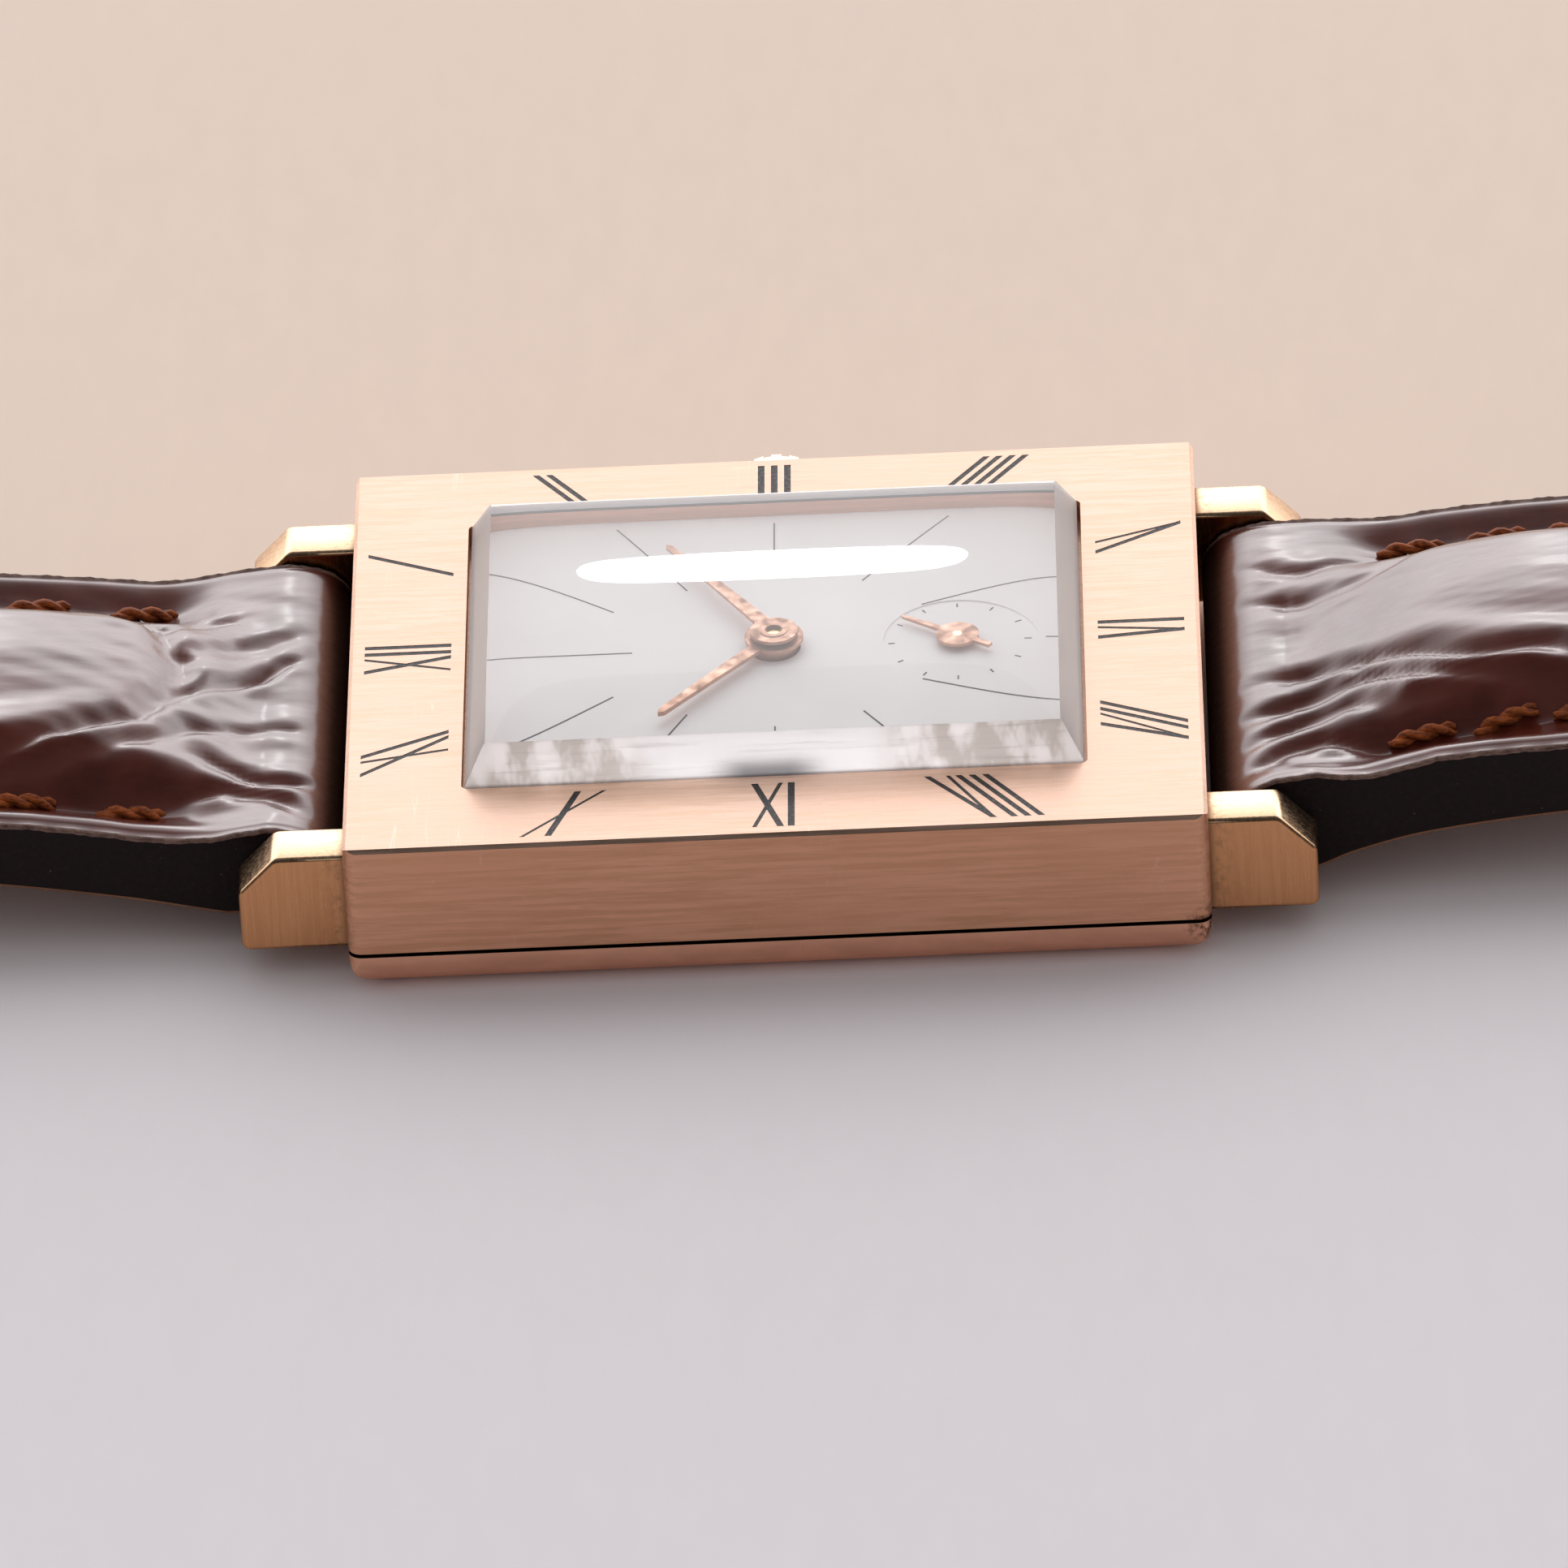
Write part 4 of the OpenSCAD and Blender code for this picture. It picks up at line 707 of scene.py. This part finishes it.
# Reach from the bar, underside, edge thickness, padding and half width, as in the part's source
BUCKLE_SIDE = [
    (0, 0.8, 3.6, 0, 9), (1.2, 0.87, 3.05, 0.1, 9), (2.6, 1.15, 2.35, 0.75, 9), (5, 1.62, 2.32, 1.5, 8.9),
    (9, 2.2, 2.25, 1.85, 8.75), (16, 2.95, 2.2, 1.6, 8.5), (25, 3, 2.1, 1.1, 8.35),
    (35, 2.2, 2.05, 0.7, 8.25), (44, 1.25, 2, 0.4, 8.15), (50, 1, 2, 0.25, 8.1), (54, 1, 2, 0.2, 8.05),
    (66, 1, 2, 0.15, 8), (72, 1, 2, 0.1, 8), (75, 1, 2, 0, 8),
]
HOLE_SIDE = [
    (0, 0.8, 3.6, 0, 9), (1.2, 0.95, 3.05, 0.1, 9), (2.6, 1.5, 2.4, 0.7, 9), (5, 2.05, 2.4, 1.5, 8.9),
    (9.6, 2.5, 2.4, 1.9, 8.75), (18, 2.9, 2.3, 1.7, 8.5), (28, 3.1, 2.2, 1.2, 8.3), (40, 2.5, 2.1, 0.8, 8.15),
    (52, 1.25, 2, 0.5, 8.05), (62, 0.3, 2, 0.35, 8), (68, 0, 2, 0.3, 8), (74, 0, 2, 0.25, 8),
    (100, 0, 1.95, 0.15, 8), (104, 0, 1.9, 0.1, 7.85), (108, 0, 1.85, 0.08, 7), (111, 0, 1.8, 0.05, 5.6),
    (113.2, 0, 1.8, 0.03, 3.8), (114.5, 0, 1.8, 0, 1.8), (115, 0, 1.8, 0, 0.8),
]
# How far the near edge is lifted, by reach from the bar
BUCKLE_LIFT = [(-1, 0), (0.5, 0.2), (2.2, 0.1), (8, 0.2), (14, 0)]
HOLE_LIFT = [(-1.5, 0), (0, 0.35), (1.4, 0.5), (3, 0.28), (5.3, 0.42), (9.5, 0.2), (14, 0)]
# Creases beside the case, as in the photograph: points of reach and side, then width and depth
BUCKLE_CREASES = [
    ([(24, -5.6), (14, -5.6), (9.2, -5.4), (7.1, -4.6), (5.0, -2.9), (3.7, -1.2), (3.6, 1.0), (4.2, 3.4),
      (6.5, 5.2), (14, 5.6), (24, 5.6)], 0.45, 0.26),
    ([(13, -6.3), (8.0, -6.2), (5.6, -5.4), (4.0, -4.0), (2.9, -3.0), (1.6, -2.6)], 0.33, 0.17),
    ([(3.7, -1.2), (2.6, -0.2), (1.5, 0.9), (0.6, 1.4)], 0.30, 0.13),
    ([(3.6, 1.0), (2.4, 2.4), (1.3, 3.4)], 0.28, 0.12),
    ([(3.3, -4.6), (1.7, -4.9), (0.2, -5.6), (-1.0, -5.9)], 0.38, 0.20),
    ([(3.3, -6.4), (2.0, -6.0), (0.8, -6.6), (-0.6, -7.4)], 0.36, 0.17),
    ([(4.2, 3.4), (2.8, 4.8), (1.4, 5.6)], 0.3, 0.13),
    ([(6.4, -6.6), (4.4, -6.4), (3.3, -6.4)], 0.28, 0.10),
    ([(3.2, -0.5), (1.2, 1.2), (-0.6, 3.0)], 0.3, 0.12),
    ([(2.6, 2.2), (1.2, 3.0), (-0.2, 4.0)], 0.28, 0.11),
    ([(2.0, -2.6), (0.8, -2.2), (-0.4, -2.4)], 0.3, 0.08),
]
HOLE_CREASES = [
    ([(26, -5.6), (16, -5.4), (9.8, -4.9), (6.5, -3.9), (3.1, -2.2), (1.5, -1.9), (-0.3, -1.9)], 0.42, 0.26),
    ([(12, -6.2), (9.0, -5.8), (5.3, -4.9), (2.7, -3.7), (1.0, -3.6), (-0.6, -4.0)], 0.34, 0.22),
    ([(6.4, -5.9), (4.4, -5.6), (2.6, -4.9), (1.3, -4.8), (-0.6, -5.8)], 0.30, 0.18),
    ([(4.6, -7.0), (3.2, -6.6), (1.8, -6.2), (0.6, -6.6), (-0.6, -7.6)], 0.32, 0.17),
    ([(26, 5.6), (14, 5.5), (7.0, 4.6), (3.2, 3.3), (1.2, 3.0), (-0.4, 3.4)], 0.45, 0.20),
    ([(6.0, 6.4), (3.4, 5.4), (1.2, 5.2), (-0.4, 6.0)], 0.35, 0.15),
    ([(3.6, -2.2), (2.8, -3.0), (1.8, -3.2)], 0.2, 0.07),
    ([(8.0, -5.5), (7.2, -6.6), (7.6, -7.8)], 0.2, 0.08),
]


def along(table, x, column):
    """Smooth curve through one column of a strap table."""
    t = np.array(table, dtype=float)
    s, v = t[:, 0], t[:, column]
    tilt = np.empty(len(s))
    tilt[1:-1] = (v[2:] - v[:-2]) / (s[2:] - s[:-2])
    tilt[0] = (v[1] - v[0]) / (s[1] - s[0])
    tilt[-1] = (v[-1] - v[-2]) / (s[-1] - s[-2])
    x = np.clip(np.asarray(x, dtype=float), 0, s[-1])
    i = np.clip(np.searchsorted(s, x, side="right") - 1, 0, len(s) - 2)
    h = s[i + 1] - s[i]
    u = (x - s[i]) / h
    return ((2 * u**3 - 3 * u**2 + 1) * v[i] + (u**3 - 2 * u**2 + u) * tilt[i] * h
            + (3 * u**2 - 2 * u**3) * v[i + 1] + (u**3 - u**2) * tilt[i + 1] * h)


def smooth(low, high, x):
    """Rises softly from 0 at low to 1 at high."""
    u = np.clip((x - low) / (high - low), 0, 1)
    return u * u * (3 - 2 * u)


def ripple(rng, s, y, long_s, long_y, count=5):
    """Soft random waves of about the given lengths, between -1 and 1."""
    total = np.zeros_like(s)
    for _ in range(count):
        a, b = rng.uniform(0.6, 1.5, 2)
        along_s = a * s / long_s + rng.uniform()
        total += np.sin(TURN * along_s + TURN * rng.choice([-1, 1]) * b * y / long_y)
    return total / count


def distance_to(path, s, y):
    """How far each point is from a path of (reach, side) points, and how far along it that is."""
    best, place = np.full(s.shape, 1e9), np.zeros(s.shape)
    for i, ((s0, y0), (s1, y1)) in enumerate(zip(path, path[1:])):
        ds, dy = s1 - s0, y1 - y0
        t = np.clip(((s - s0) * ds + (y - y0) * dy) / (ds * ds + dy * dy), 0, 1)
        d = np.hypot(s - s0 - t * ds, y - y0 - t * dy)
        place = np.where(d < best, (i + t) / (len(path) - 1), place)
        best = np.minimum(best, d)
    return best, place


def hide_pattern(rng, first, length):
    """The creases of the hide: across the strap between large scales, and along both its shoulders."""
    lines = []
    s = first
    while s < length:
        bend = rng.uniform(-1.2, 1.2)
        path = [(s + bend + rng.uniform(-0.3, 0.3), -5.2), (s + rng.uniform(-0.4, 0.4), -2.2),
                (s + rng.uniform(-0.4, 0.4), 1.5), (s - bend, 5.2)]
        lines.append((path, 0.34, 0.17))
        s += rng.uniform(7.6, 9.6)
    for side in (-1, 1):
        s = first - 3
        while s < length:
            lines.append(([(s, side * 5.1), (s + rng.uniform(-0.5, 0.5), side * 8.3)], 0.24, 0.10))
            s += rng.uniform(3.4, 5.2)
    return lines


def relief(rng, lines, s, y):
    """Height of the creases and of the leather's small ripples, and how deep in a crease each point lies."""
    ws = s + 0.32 * ripple(rng, s, y, 6, 5) + 0.10 * ripple(rng, s, y, 1.8, 1.5)
    wy = y + 0.30 * ripple(rng, s, y, 7, 5) + 0.09 * ripple(rng, s, y, 2.2, 1.4)
    height, crease = np.zeros(s.shape), np.zeros(s.shape)
    for path, width, depth in lines:
        d, place = distance_to(path, ws, wy)
        fade = smooth(0, 0.16, place) * (1 - smooth(0.84, 1, place)) * 0.75 + 0.25
        valley = np.exp(-(d / width) ** 2)
        swell = np.exp(-((d - 2.1 * width) / (1.5 * width)) ** 2)
        height += fade * depth * (0.35 * swell - valley)
        crease = np.maximum(crease, fade * np.exp(-(d / (0.8 * width)) ** 2) * min(1.0, depth / 0.15))
    height += 0.02 * ripple(rng, s, y, 8, 1.9) + 0.012 * ripple(rng, s, y, 3, 0.8)
    return height, crease


def side_profile(table, length):
    """The strap seen from its side: reach, underside, upper edge, padding and half width at each step."""
    nose = [(-LOOP + (LOOP + NOSE) * (1 - math.cos(t)), LOOP * math.sin(t))
            for t in np.radians(range(3, 90, 3))]
    reach = [NOSE]
    while reach[-1] < length - 0.05:
        reach.append(min(length - 0.02, reach[-1] + (0.2 if reach[-1] < 13 else 0.42)))
    s = np.array([p[0] for p in nose] + reach)
    half_loop = np.array([p[1] for p in nose] + [0] * len(reach))
    on_loop = np.arange(len(s)) < len(nose)
    low = np.where(on_loop, BAR_Z - half_loop, np.maximum(along(table, s, 1), table[-1][1]))
    high = np.where(on_loop, BAR_Z + half_loop - 0.2, low + along(table, s, 2))
    padding = np.where(on_loop, 0, np.maximum(0, along(table, s, 3)))
    w = np.where(on_loop, HALF, np.maximum(0.7, along(table, s, 4)))
    for _ in range(140):  # the leather comes round the bar in one soft curve
        soft = high.copy()
        soft[1:-1] = (high[:-2] + 2 * high[1:-1] + high[2:]) / 4
        high += (soft - high) * smooth(-1.9, -0.4, s) * (1 - smooth(3.5, 5.5, s))
    return s, low, high, padding, w


def upper_face(rng, profile, lines, first, length, inset, raised, sunk):
    """The scaled upper leather: side and height of each point, how creased it is, and how much rubbing and
    painted shade it gets near the loop.
    """
    s, _, high, padding, w = profile
    inner = np.linspace(-1, 1, 91)
    grid_s = np.repeat(s[:, None], len(inner), axis=1)
    grid_w = np.repeat(w[:, None], len(inner), axis=1)
    fit = np.minimum(1, w / 2.5)
    y = inner[None, :] * (grid_w - 0.22 * fit[:, None])
    # d is how far in from the edge a point lies, and far goes from 0 on the near half to 1 on the other
    d = grid_w - np.abs(y)
    far = smooth(-2.0, 2.0, y)
    # The padding rises at once behind the near seam, and slowly, with a dip in its margin, at the far one
    hill = np.clip((d - 1.9) / 4.2, 0, 1)
    hill = 0.5 * (hill + smooth(0, 1, hill))
    pad = 0.88 * ((1 - far) * smooth(1.75, 4.0, d) + far * hill) + 0.12 * smooth(4.0, 9.0, d)
    dip = 0.5 * smooth(2.0, 4.5, grid_s) * (1 - smooth(30, 45, grid_s)) * far
    bumps, crease = relief(rng, lines + hide_pattern(rng, first, length), grid_s, y)
    # The creases fade at the edge and over the loop, the seam sinks in and a ridge stands outside it
    ease = smooth(0.25, 1.1, d) * smooth(-1.7, -0.2, grid_s)
    seam = np.exp(-((d - inset) / 0.5) ** 2) * smooth(2.6, 4.2, grid_s)
    ridge = np.exp(-((d - 0.75) / 0.42) ** 2) * smooth(1.5, 4.2, grid_s)
    pucker = np.where(y < 0, raised[:, None] * (1 - smooth(0.2, 2.0, d)), sunk[:, None] * (1 - hill))
    top = high[:, None] + pucker + padding[:, None] * pad + bumps * ease
    top -= dip * smooth(0.2, 2.1, d) * (1 - hill) + 0.26 * (1 - far) * seam
    top += 0.12 * (1 - far) * ridge - 0.06 * np.exp(-((d - 0.22) / 0.12) ** 2)
    # Rubbing and painted shade: full where the loop starts beside the case, gone by reach 0 at the bar, and a
    # little in deep creases
    rubbed_and_shaded = np.clip(1 - smooth(-1.8, 0.0, grid_s) + 0.12 * smooth(0.75, 1.0, crease), 0, 1)
    return y, top, crease, rubbed_and_shaded


def strap_body(name, way, profile, face, raised, sunk):
    """The closed strap: rings of points round it, from one edge of the upper face to the other and below."""
    s, low, high, _, w = profile
    y, top, crease, rubbed_and_shaded = face
    # Offsets from the side and from the upper or lower face
    lip = [(-0.12, 0.0), (-0.03, -0.05), (-0.01, -0.13)]
    wall = [(-0.06, -0.19), (0.0, -0.55)]
    foot = [(0.0, 0.55), (-0.05, 0.22), (-0.30, 0.0)]
    under = [0.55, 0.0, -0.55]
    across = y.shape[1]
    columns = across + 2 * (len(lip) + len(wall) + len(foot)) + len(under)
    points, shade, rubbing_and_shade = [], [], []
    for k in range(len(s)):
        fit = min(1, w[k] / 2.5)
        squeeze = min(1.0, (high[k] - low[k]) / 1.4) * fit
        middle = (low[k] + high[k]) / 2
        fray = 0.03 * math.sin(9.1 * s[k]) * math.sin(4.3 * s[k] + 1)
        side = [(w[k] + a * fit, high[k] + b * squeeze + fray) for a, b in lip]
        side += [(w[k] + a * fit, high[k] + b * squeeze) for a, b in wall]
        side += [(w[k] + a * fit, low[k] + b * squeeze) for a, b in foot]
        ring = [(y[k, j], top[k, j]) for j in range(across)]
        ring += [(a, b + sunk[k] * (b > middle)) for a, b in side]
        ring += [(w[k] * u, low[k]) for u in under]
        ring += [(-a, b + raised[k] * (b > middle)) for a, b in reversed(side)]
        points += [(way * (BAR_X + s[k]), a, b) for a, b in ring]
        shade += list(crease[k]) + [0.0] * (columns - across)
        rubbing_and_shade += list(rubbed_and_shaded[k]) + [0.0] * (columns - across)
    painted = [2] * (len(wall) + len(foot) - 1)
    column_finish = [0] * (across - 1) + [1] * len(lip) + painted + [3] * (len(under) + 3)
    column_finish += painted + [1] * len(lip)
    faces, kind = [], []
    for k in range(len(s) - 1):
        for j in range(columns):
            a, b = k * columns + j, k * columns + (j + 1) % columns
            faces.append((a, b, b + columns, a + columns)[::way])
            kind.append(column_finish[j])
    last = (len(s) - 1) * columns
    faces += [tuple(range(columns))[::-way], tuple(range(last, last + columns))[::way]]
    kind += [0, 2]
    obj = piece(name, points, faces, ["leather", "lip", "paint", "lining"], kind)
    for label, values in (("crease", shade), ("rubbed_and_shaded", rubbing_and_shade)):
        obj.data.attributes.new(label, "FLOAT", "POINT").data.foreach_set("value", values)
    outward(obj)
    return obj


def seam_lines(way, profile, face, length, inset):
    """The two lines that the stitches follow, a hair above the leather."""
    s, w = profile[0], profile[4]
    y, top = face[:2]
    seams = []
    for sign, above in ((-1, 0.07), (1, 0.17)):
        line = []
        for k in range(len(s)):
            edge_in = w[k] - inset
            if s[k] < 4.9 or s[k] > length - 3.2 or edge_in < 0.6:
                continue
            z = np.interp(sign * edge_in, y[k], top[k]) + above
            line.append((way * (BAR_X + s[k]), sign * edge_in, z))
        seams.append(line[::way])
    return seams


def strap_side(name, table, way, length, lines, first, inset, lift, seed):
    """One side of the strap: scaled leather over padding, a painted edge and a calf lining."""
    rng = np.random.default_rng(seed)
    profile = side_profile(table, length)
    s = profile[0]
    raised = np.interp(s, [p[0] for p in lift], [p[1] for p in lift])
    sunk = -0.25 * smooth(1.5, 5.0, s) * (1 - smooth(30, 45, s))  # the far margin lies a little lower
    face = upper_face(rng, profile, lines, first, length, inset, raised, sunk)
    return strap_body(name, way, profile, face, raised, sunk), seam_lines(way, profile, face, length, inset)


def stitch_shape():
    """One stitch: two twisted plies that dive into the leather at both ends."""
    points, faces = [], []
    rings, sides = 11, 6
    for ply in (0, math.pi):
        base = len(points)
        for r in range(rings):
            t = -1 + 2 * r / (rings - 1)
            turn = ply + 4.6 * t
            cx, cy = 1.12 * t, 0.13 * math.cos(turn)
            cz = 0.12 * math.sin(turn) + 0.17 * (1 - t**4) - 0.12
            radius = 0.165 * (1 - 0.45 * abs(t) ** 6)
            for k in range(sides):
                q = 2 * math.pi * k / sides
                points.append((cx, cy + radius * math.cos(q), cz + radius * math.sin(q)))
        for r in range(rings - 1):
            for k in range(sides):
                a, b = base + r * sides + k, base + r * sides + (k + 1) % sides
                faces.append((a, b, b + sides, a + sides))
        faces.append(tuple(base + k for k in reversed(range(sides))))
        faces.append(tuple(base + (rings - 1) * sides + k for k in range(sides)))
    obj = piece("one_stitch", points, faces, ["thread"])
    outward(obj)
    return obj


def cut_away(obj, tools):
    """Cuts the tools' shapes out of a piece and clears the tools away."""
    for tool in tools:
        step = obj.modifiers.new("cut", "BOOLEAN")
        step.operation, step.solver, step.object = "DIFFERENCE", "EXACT", tool
    bake(obj)
    for tool in tools:
        bpy.data.objects.remove(tool)


def upright_plug(name, outline, z0=-1, z1=6):
    """A cutting tool: the outline run from below the strap to above it."""
    n = len(outline)
    points = [(x, y, z) for z in (z0, z1) for x, y in outline]
    faces = [tuple(reversed(range(n))), tuple(range(n, 2 * n))]
    faces += [(k, (k + 1) % n, n + (k + 1) % n, n + k) for k in range(n)]
    return piece(name, points, faces, ["paint"])


def circle(x, r, sides=32):
    turns = [2 * math.pi * k / sides for k in range(sides)]
    return [(x + r * math.cos(t), r * math.sin(t)) for t in turns]


BUCKLE_LENGTH, HOLE_LENGTH = 75, 115
SLOT_R, SLOT_REACH = 1.3, 3.3
HOLE_R, FIRST_HOLE, HOLE_PITCH, HOLES = 0.9, 68, 6, 7

strap_12, seams_12 = strap_side("strap_buckle_side", BUCKLE_SIDE, -1, BUCKLE_LENGTH, BUCKLE_CREASES,
                                first=17.0, inset=1.95, lift=BUCKLE_LIFT, seed=7)
strap_6, seams_6 = strap_side("strap_hole_side", HOLE_SIDE, 1, HOLE_LENGTH, HOLE_CREASES,
                              first=15.5, inset=2.3, lift=HOLE_LIFT, seed=11)
strap_end = -(BAR_X + BUCKLE_LENGTH)
slot = [(strap_end + x, y)
        for x, y in ((-2, -SLOT_R), (SLOT_REACH, -SLOT_R), (SLOT_REACH, SLOT_R), (-2, SLOT_R))]
cut_away(strap_12, [upright_plug("slot_end", circle(strap_end + SLOT_REACH, SLOT_R)),
                    upright_plug("slot_cut", slot)])
cut_away(strap_6, [upright_plug("hole_%d" % k, circle(BAR_X + FIRST_HOLE + HOLE_PITCH * k, HOLE_R))
                   for k in range(HOLES)])
for strap, body in ((strap_12, "strap_12"), (strap_6, "strap_6")):
    settle(strap, body, "strap_leather", body)

row_tree = stitch_tree()
one_stitch = stitch_shape()
for body, seams, pitch in (("strap_12", seams_12, 3.4), ("strap_6", seams_6, 2.65)):
    for side, seam, seed in zip(("near", "far"), seams, (3, 8)):
        row = line_drawing("stitches_%s_%s" % (body, side), [seam])
        grow(row, row_tree, Pitch=pitch * MM, Stitch=one_stitch, Finish=FIN["thread"], Seed=seed)
        row.data.polygons.foreach_set("use_smooth", [True] * len(row.data.polygons))
        settle(row, body, "strap_leather")
bpy.data.objects.remove(one_stitch)


def keeper(name, reach, low, node, body):
    """A leather loop round the strap, with rounded edges and a slight crown."""
    half, high, thick, long = 8.45, 5.35, 0.9, 4.5
    top_r, foot_r, edge_r = 1.1, 0.55, 0.32
    y, z0, z1 = half + thick / 2, low - thick / 2, high + thick / 2
    path = []  # side, height and the way out at each place of the loop
    for cy, cz, r, start in ((y - top_r, z1 - top_r, top_r, 0), (-y + top_r, z1 - top_r, top_r, 90),
                             (-y + foot_r, z0 + foot_r, foot_r, 180), (y - foot_r, z0 + foot_r, foot_r, 270)):
        for k in range(7):
            t = math.radians(start + 15 * k)
            path.append((cy + r * math.cos(t), cz + r * math.sin(t), math.cos(t), math.sin(t)))
    filled = []
    for i, p in enumerate(path):
        q = path[(i + 1) % len(path)]
        steps = max(1, round(math.hypot(q[0] - p[0], q[1] - p[1]) / 0.8))
        filled += [tuple(p[c] + (q[c] - p[c]) * k / steps for c in range(4)) for k in range(steps)]
    section = []
    across, up = long / 2 - edge_r, thick / 2 - edge_r
    for cx, ct, start in ((across, up, 0), (-across, up, 90), (-across, -up, 180), (across, -up, 270)):
        for k in range(5):
            t = math.radians(start + 22.5 * k)
            section.append((cx + edge_r * math.cos(t), ct + edge_r * math.sin(t)))
    n = len(section)
    points = []
    for i, (cy, cz, ny, nz) in enumerate(filled):
        size = math.hypot(ny, nz)
        swell = 0.03 * math.sin(2.1 * i) + 0.03 * math.sin(0.83 * i + 1)
        for dx, dt in section:
            out = dt + (swell * (1 - (2 * dx / long) ** 2) if dt > 0 else 0)
            points.append((dx - BAR_X - reach, cy + out * ny / size, cz + out * nz / size))
    faces = []
    for i in range(len(filled)):
        for k in range(n):
            a, b = i * n + k, i * n + (k + 1) % n
            c = ((i + 1) % len(filled)) * n
            faces.append((a, b, c + (k + 1) % n, c + k))
    obj = piece(name, points, faces, ["leather"])
    outward(obj)
    settle(obj, body, "strap_leather", node)


keeper("fixed_loop", 63, 1.0, "fixed_keeper", "strap_12")
keeper("sliding_loop", 56, 0.9, "sliding_keeper", "keeper")


# Table, light and camera

def table():
    """The flat table top that the watch lies on."""
    half = 2500
    corners = [(-half, -half, 0), (half, -half, 0), (half, half, 0), (-half, half, 0)]
    piece("table", corners, [(0, 1, 2, 3)], ["table"])


def soft_box(name, place, aim, size, brightness, colour=(1, 1, 1)):
    """An oval lamp; brightness is what its face looks like, where 1 is white."""
    lamp = bpy.data.lights.new(name, "AREA")
    lamp.shape, lamp.size, lamp.size_y = "ELLIPSE", size[0], size[1]
    lamp.energy = brightness * math.pi * size[0] * size[1] * math.pi / 4
    lamp.color = colour
    obj = bpy.data.objects.new(name, lamp)
    bpy.context.scene.collection.objects.link(obj)
    obj.location = place
    obj.rotation_euler = (Vector(aim) - Vector(place)).to_track_quat("-Z", "Y").to_euler()


def studio():
    """A pale room that is bright low behind the watch and dark above and in front of it."""
    world = bpy.data.worlds.new("studio")
    world.use_nodes = True
    tree = world.node_tree
    room = tree.nodes["Background"]
    where = tree.nodes.new("ShaderNodeTexCoord")
    axes = tree.nodes.new("ShaderNodeSeparateXYZ")
    tree.links.new(where.outputs["Generated"], axes.inputs[0])

    def ramp(value, stops):
        """Turns a height or depth into a brightness, softly from stop to stop."""
        node = tree.nodes.new("ShaderNodeValToRGB")
        node.color_ramp.interpolation = "EASE"
        while len(node.color_ramp.elements) < len(stops):
            node.color_ramp.elements.new(0.5)
        for element, (place, level) in zip(node.color_ramp.elements, stops):
            element.position = place
            element.color = (level, level, level, 1)
        tree.links.new(value, node.inputs[0])
        return node.outputs[0]

    def maths(how, a, b):
        node = tree.nodes.new("ShaderNodeMath")
        node.operation = how
        for socket, value in zip(node.inputs, (a, b)):
            if isinstance(value, bpy.types.NodeSocket):
                tree.links.new(value, socket)
            else:
                socket.default_value = value
        return node.outputs[0]

    depth = maths("ADD", maths("MULTIPLY", axes.outputs["Y"], 0.5), 0.5)
    behind = ramp(depth, [(0.42, 0.0), (0.8, 1.0)])
    height = ramp(axes.outputs["Z"], [(0.0, 0.55), (0.25, 0.8), (0.38, 1.0), (0.5, 0.92), (0.68, 0.4),
                                      (0.9, 0.05)])
    low_front = ramp(axes.outputs["Z"], [(0.0, 0.14), (0.12, 0.10), (0.30, 0.0), (1.0, 0.0)])
    # What shiny faces mirror has more contrast than the light that falls on the rest
    back_wall = maths("MULTIPLY", maths("MULTIPLY", behind, height), 2.3)
    mirrored = maths("ADD", back_wall, maths("ADD", low_front, 0.03))
    spread = maths("ADD", maths("MULTIPLY", behind, 1.02), 0.42)
    paths = tree.nodes.new("ShaderNodeLightPath")
    is_mirrored = maths("MAXIMUM", paths.outputs["Is Glossy Ray"], paths.outputs["Is Transmission Ray"])
    is_spread = maths("SUBTRACT", 1.0, is_mirrored)
    level = maths("ADD", maths("MULTIPLY", mirrored, is_mirrored), maths("MULTIPLY", is_spread, spread))
    room.inputs["Color"].default_value = (1.0, 0.965, 0.975, 1)
    tree.links.new(level, room.inputs["Strength"])
    bpy.context.scene.world = world
    soft_box("back_box", (0.04, 0.70, 0.345), (0, 0, 0), (1.0, 0.25), 0.4, (1.0, 0.955, 0.985))
    soft_box("highlight_strip", (-0.0208, 0.80, 0.388), (0, 0, 0), (0.052, 0.042), 9.0)
    bpy.context.scene.view_settings.view_transform = "Standard"


# Pixels of the photograph: its side, the focal length, and how far the top of the case's middle
# lands left of the picture's centre and above it
PHOTO_SIDE = 1932
FOCAL_PIXELS = 23190.0
CASE_LEFT = 12
CASE_ABOVE = 174


def camera():
    """The photograph's place: 29 degrees up, seen from the 9 o'clock side, tilted a little."""
    distance = 0.6075
    sensor = 36.0
    right = Vector((0.9988, 0.0, -0.0487)).normalized()
    up = Vector((0.0427, 0.4852, 0.8733))
    up = (up - right * up.dot(right)).normalized()
    back = right.cross(up)
    target = Vector((0, 0, CASE_H * MM))
    data = bpy.data.cameras.new("photo_camera")
    data.sensor_width, data.lens = sensor, FOCAL_PIXELS / PHOTO_SIDE * sensor
    data.clip_start, data.clip_end = 0.05, 20
    obj = bpy.data.objects.new("photo_camera", data)
    bpy.context.scene.collection.objects.link(obj)
    z_axis = (back - right * (CASE_LEFT / FOCAL_PIXELS) + up * (CASE_ABOVE / FOCAL_PIXELS)).normalized()
    x_axis = (right - z_axis * right.dot(z_axis)).normalized()
    y_axis = z_axis.cross(x_axis)
    turn = Matrix((x_axis, y_axis, z_axis)).transposed()
    obj.matrix_world = Matrix.Translation(target + back * distance) @ turn.to_4x4()
    bpy.context.scene.camera = obj


table()
studio()
camera()
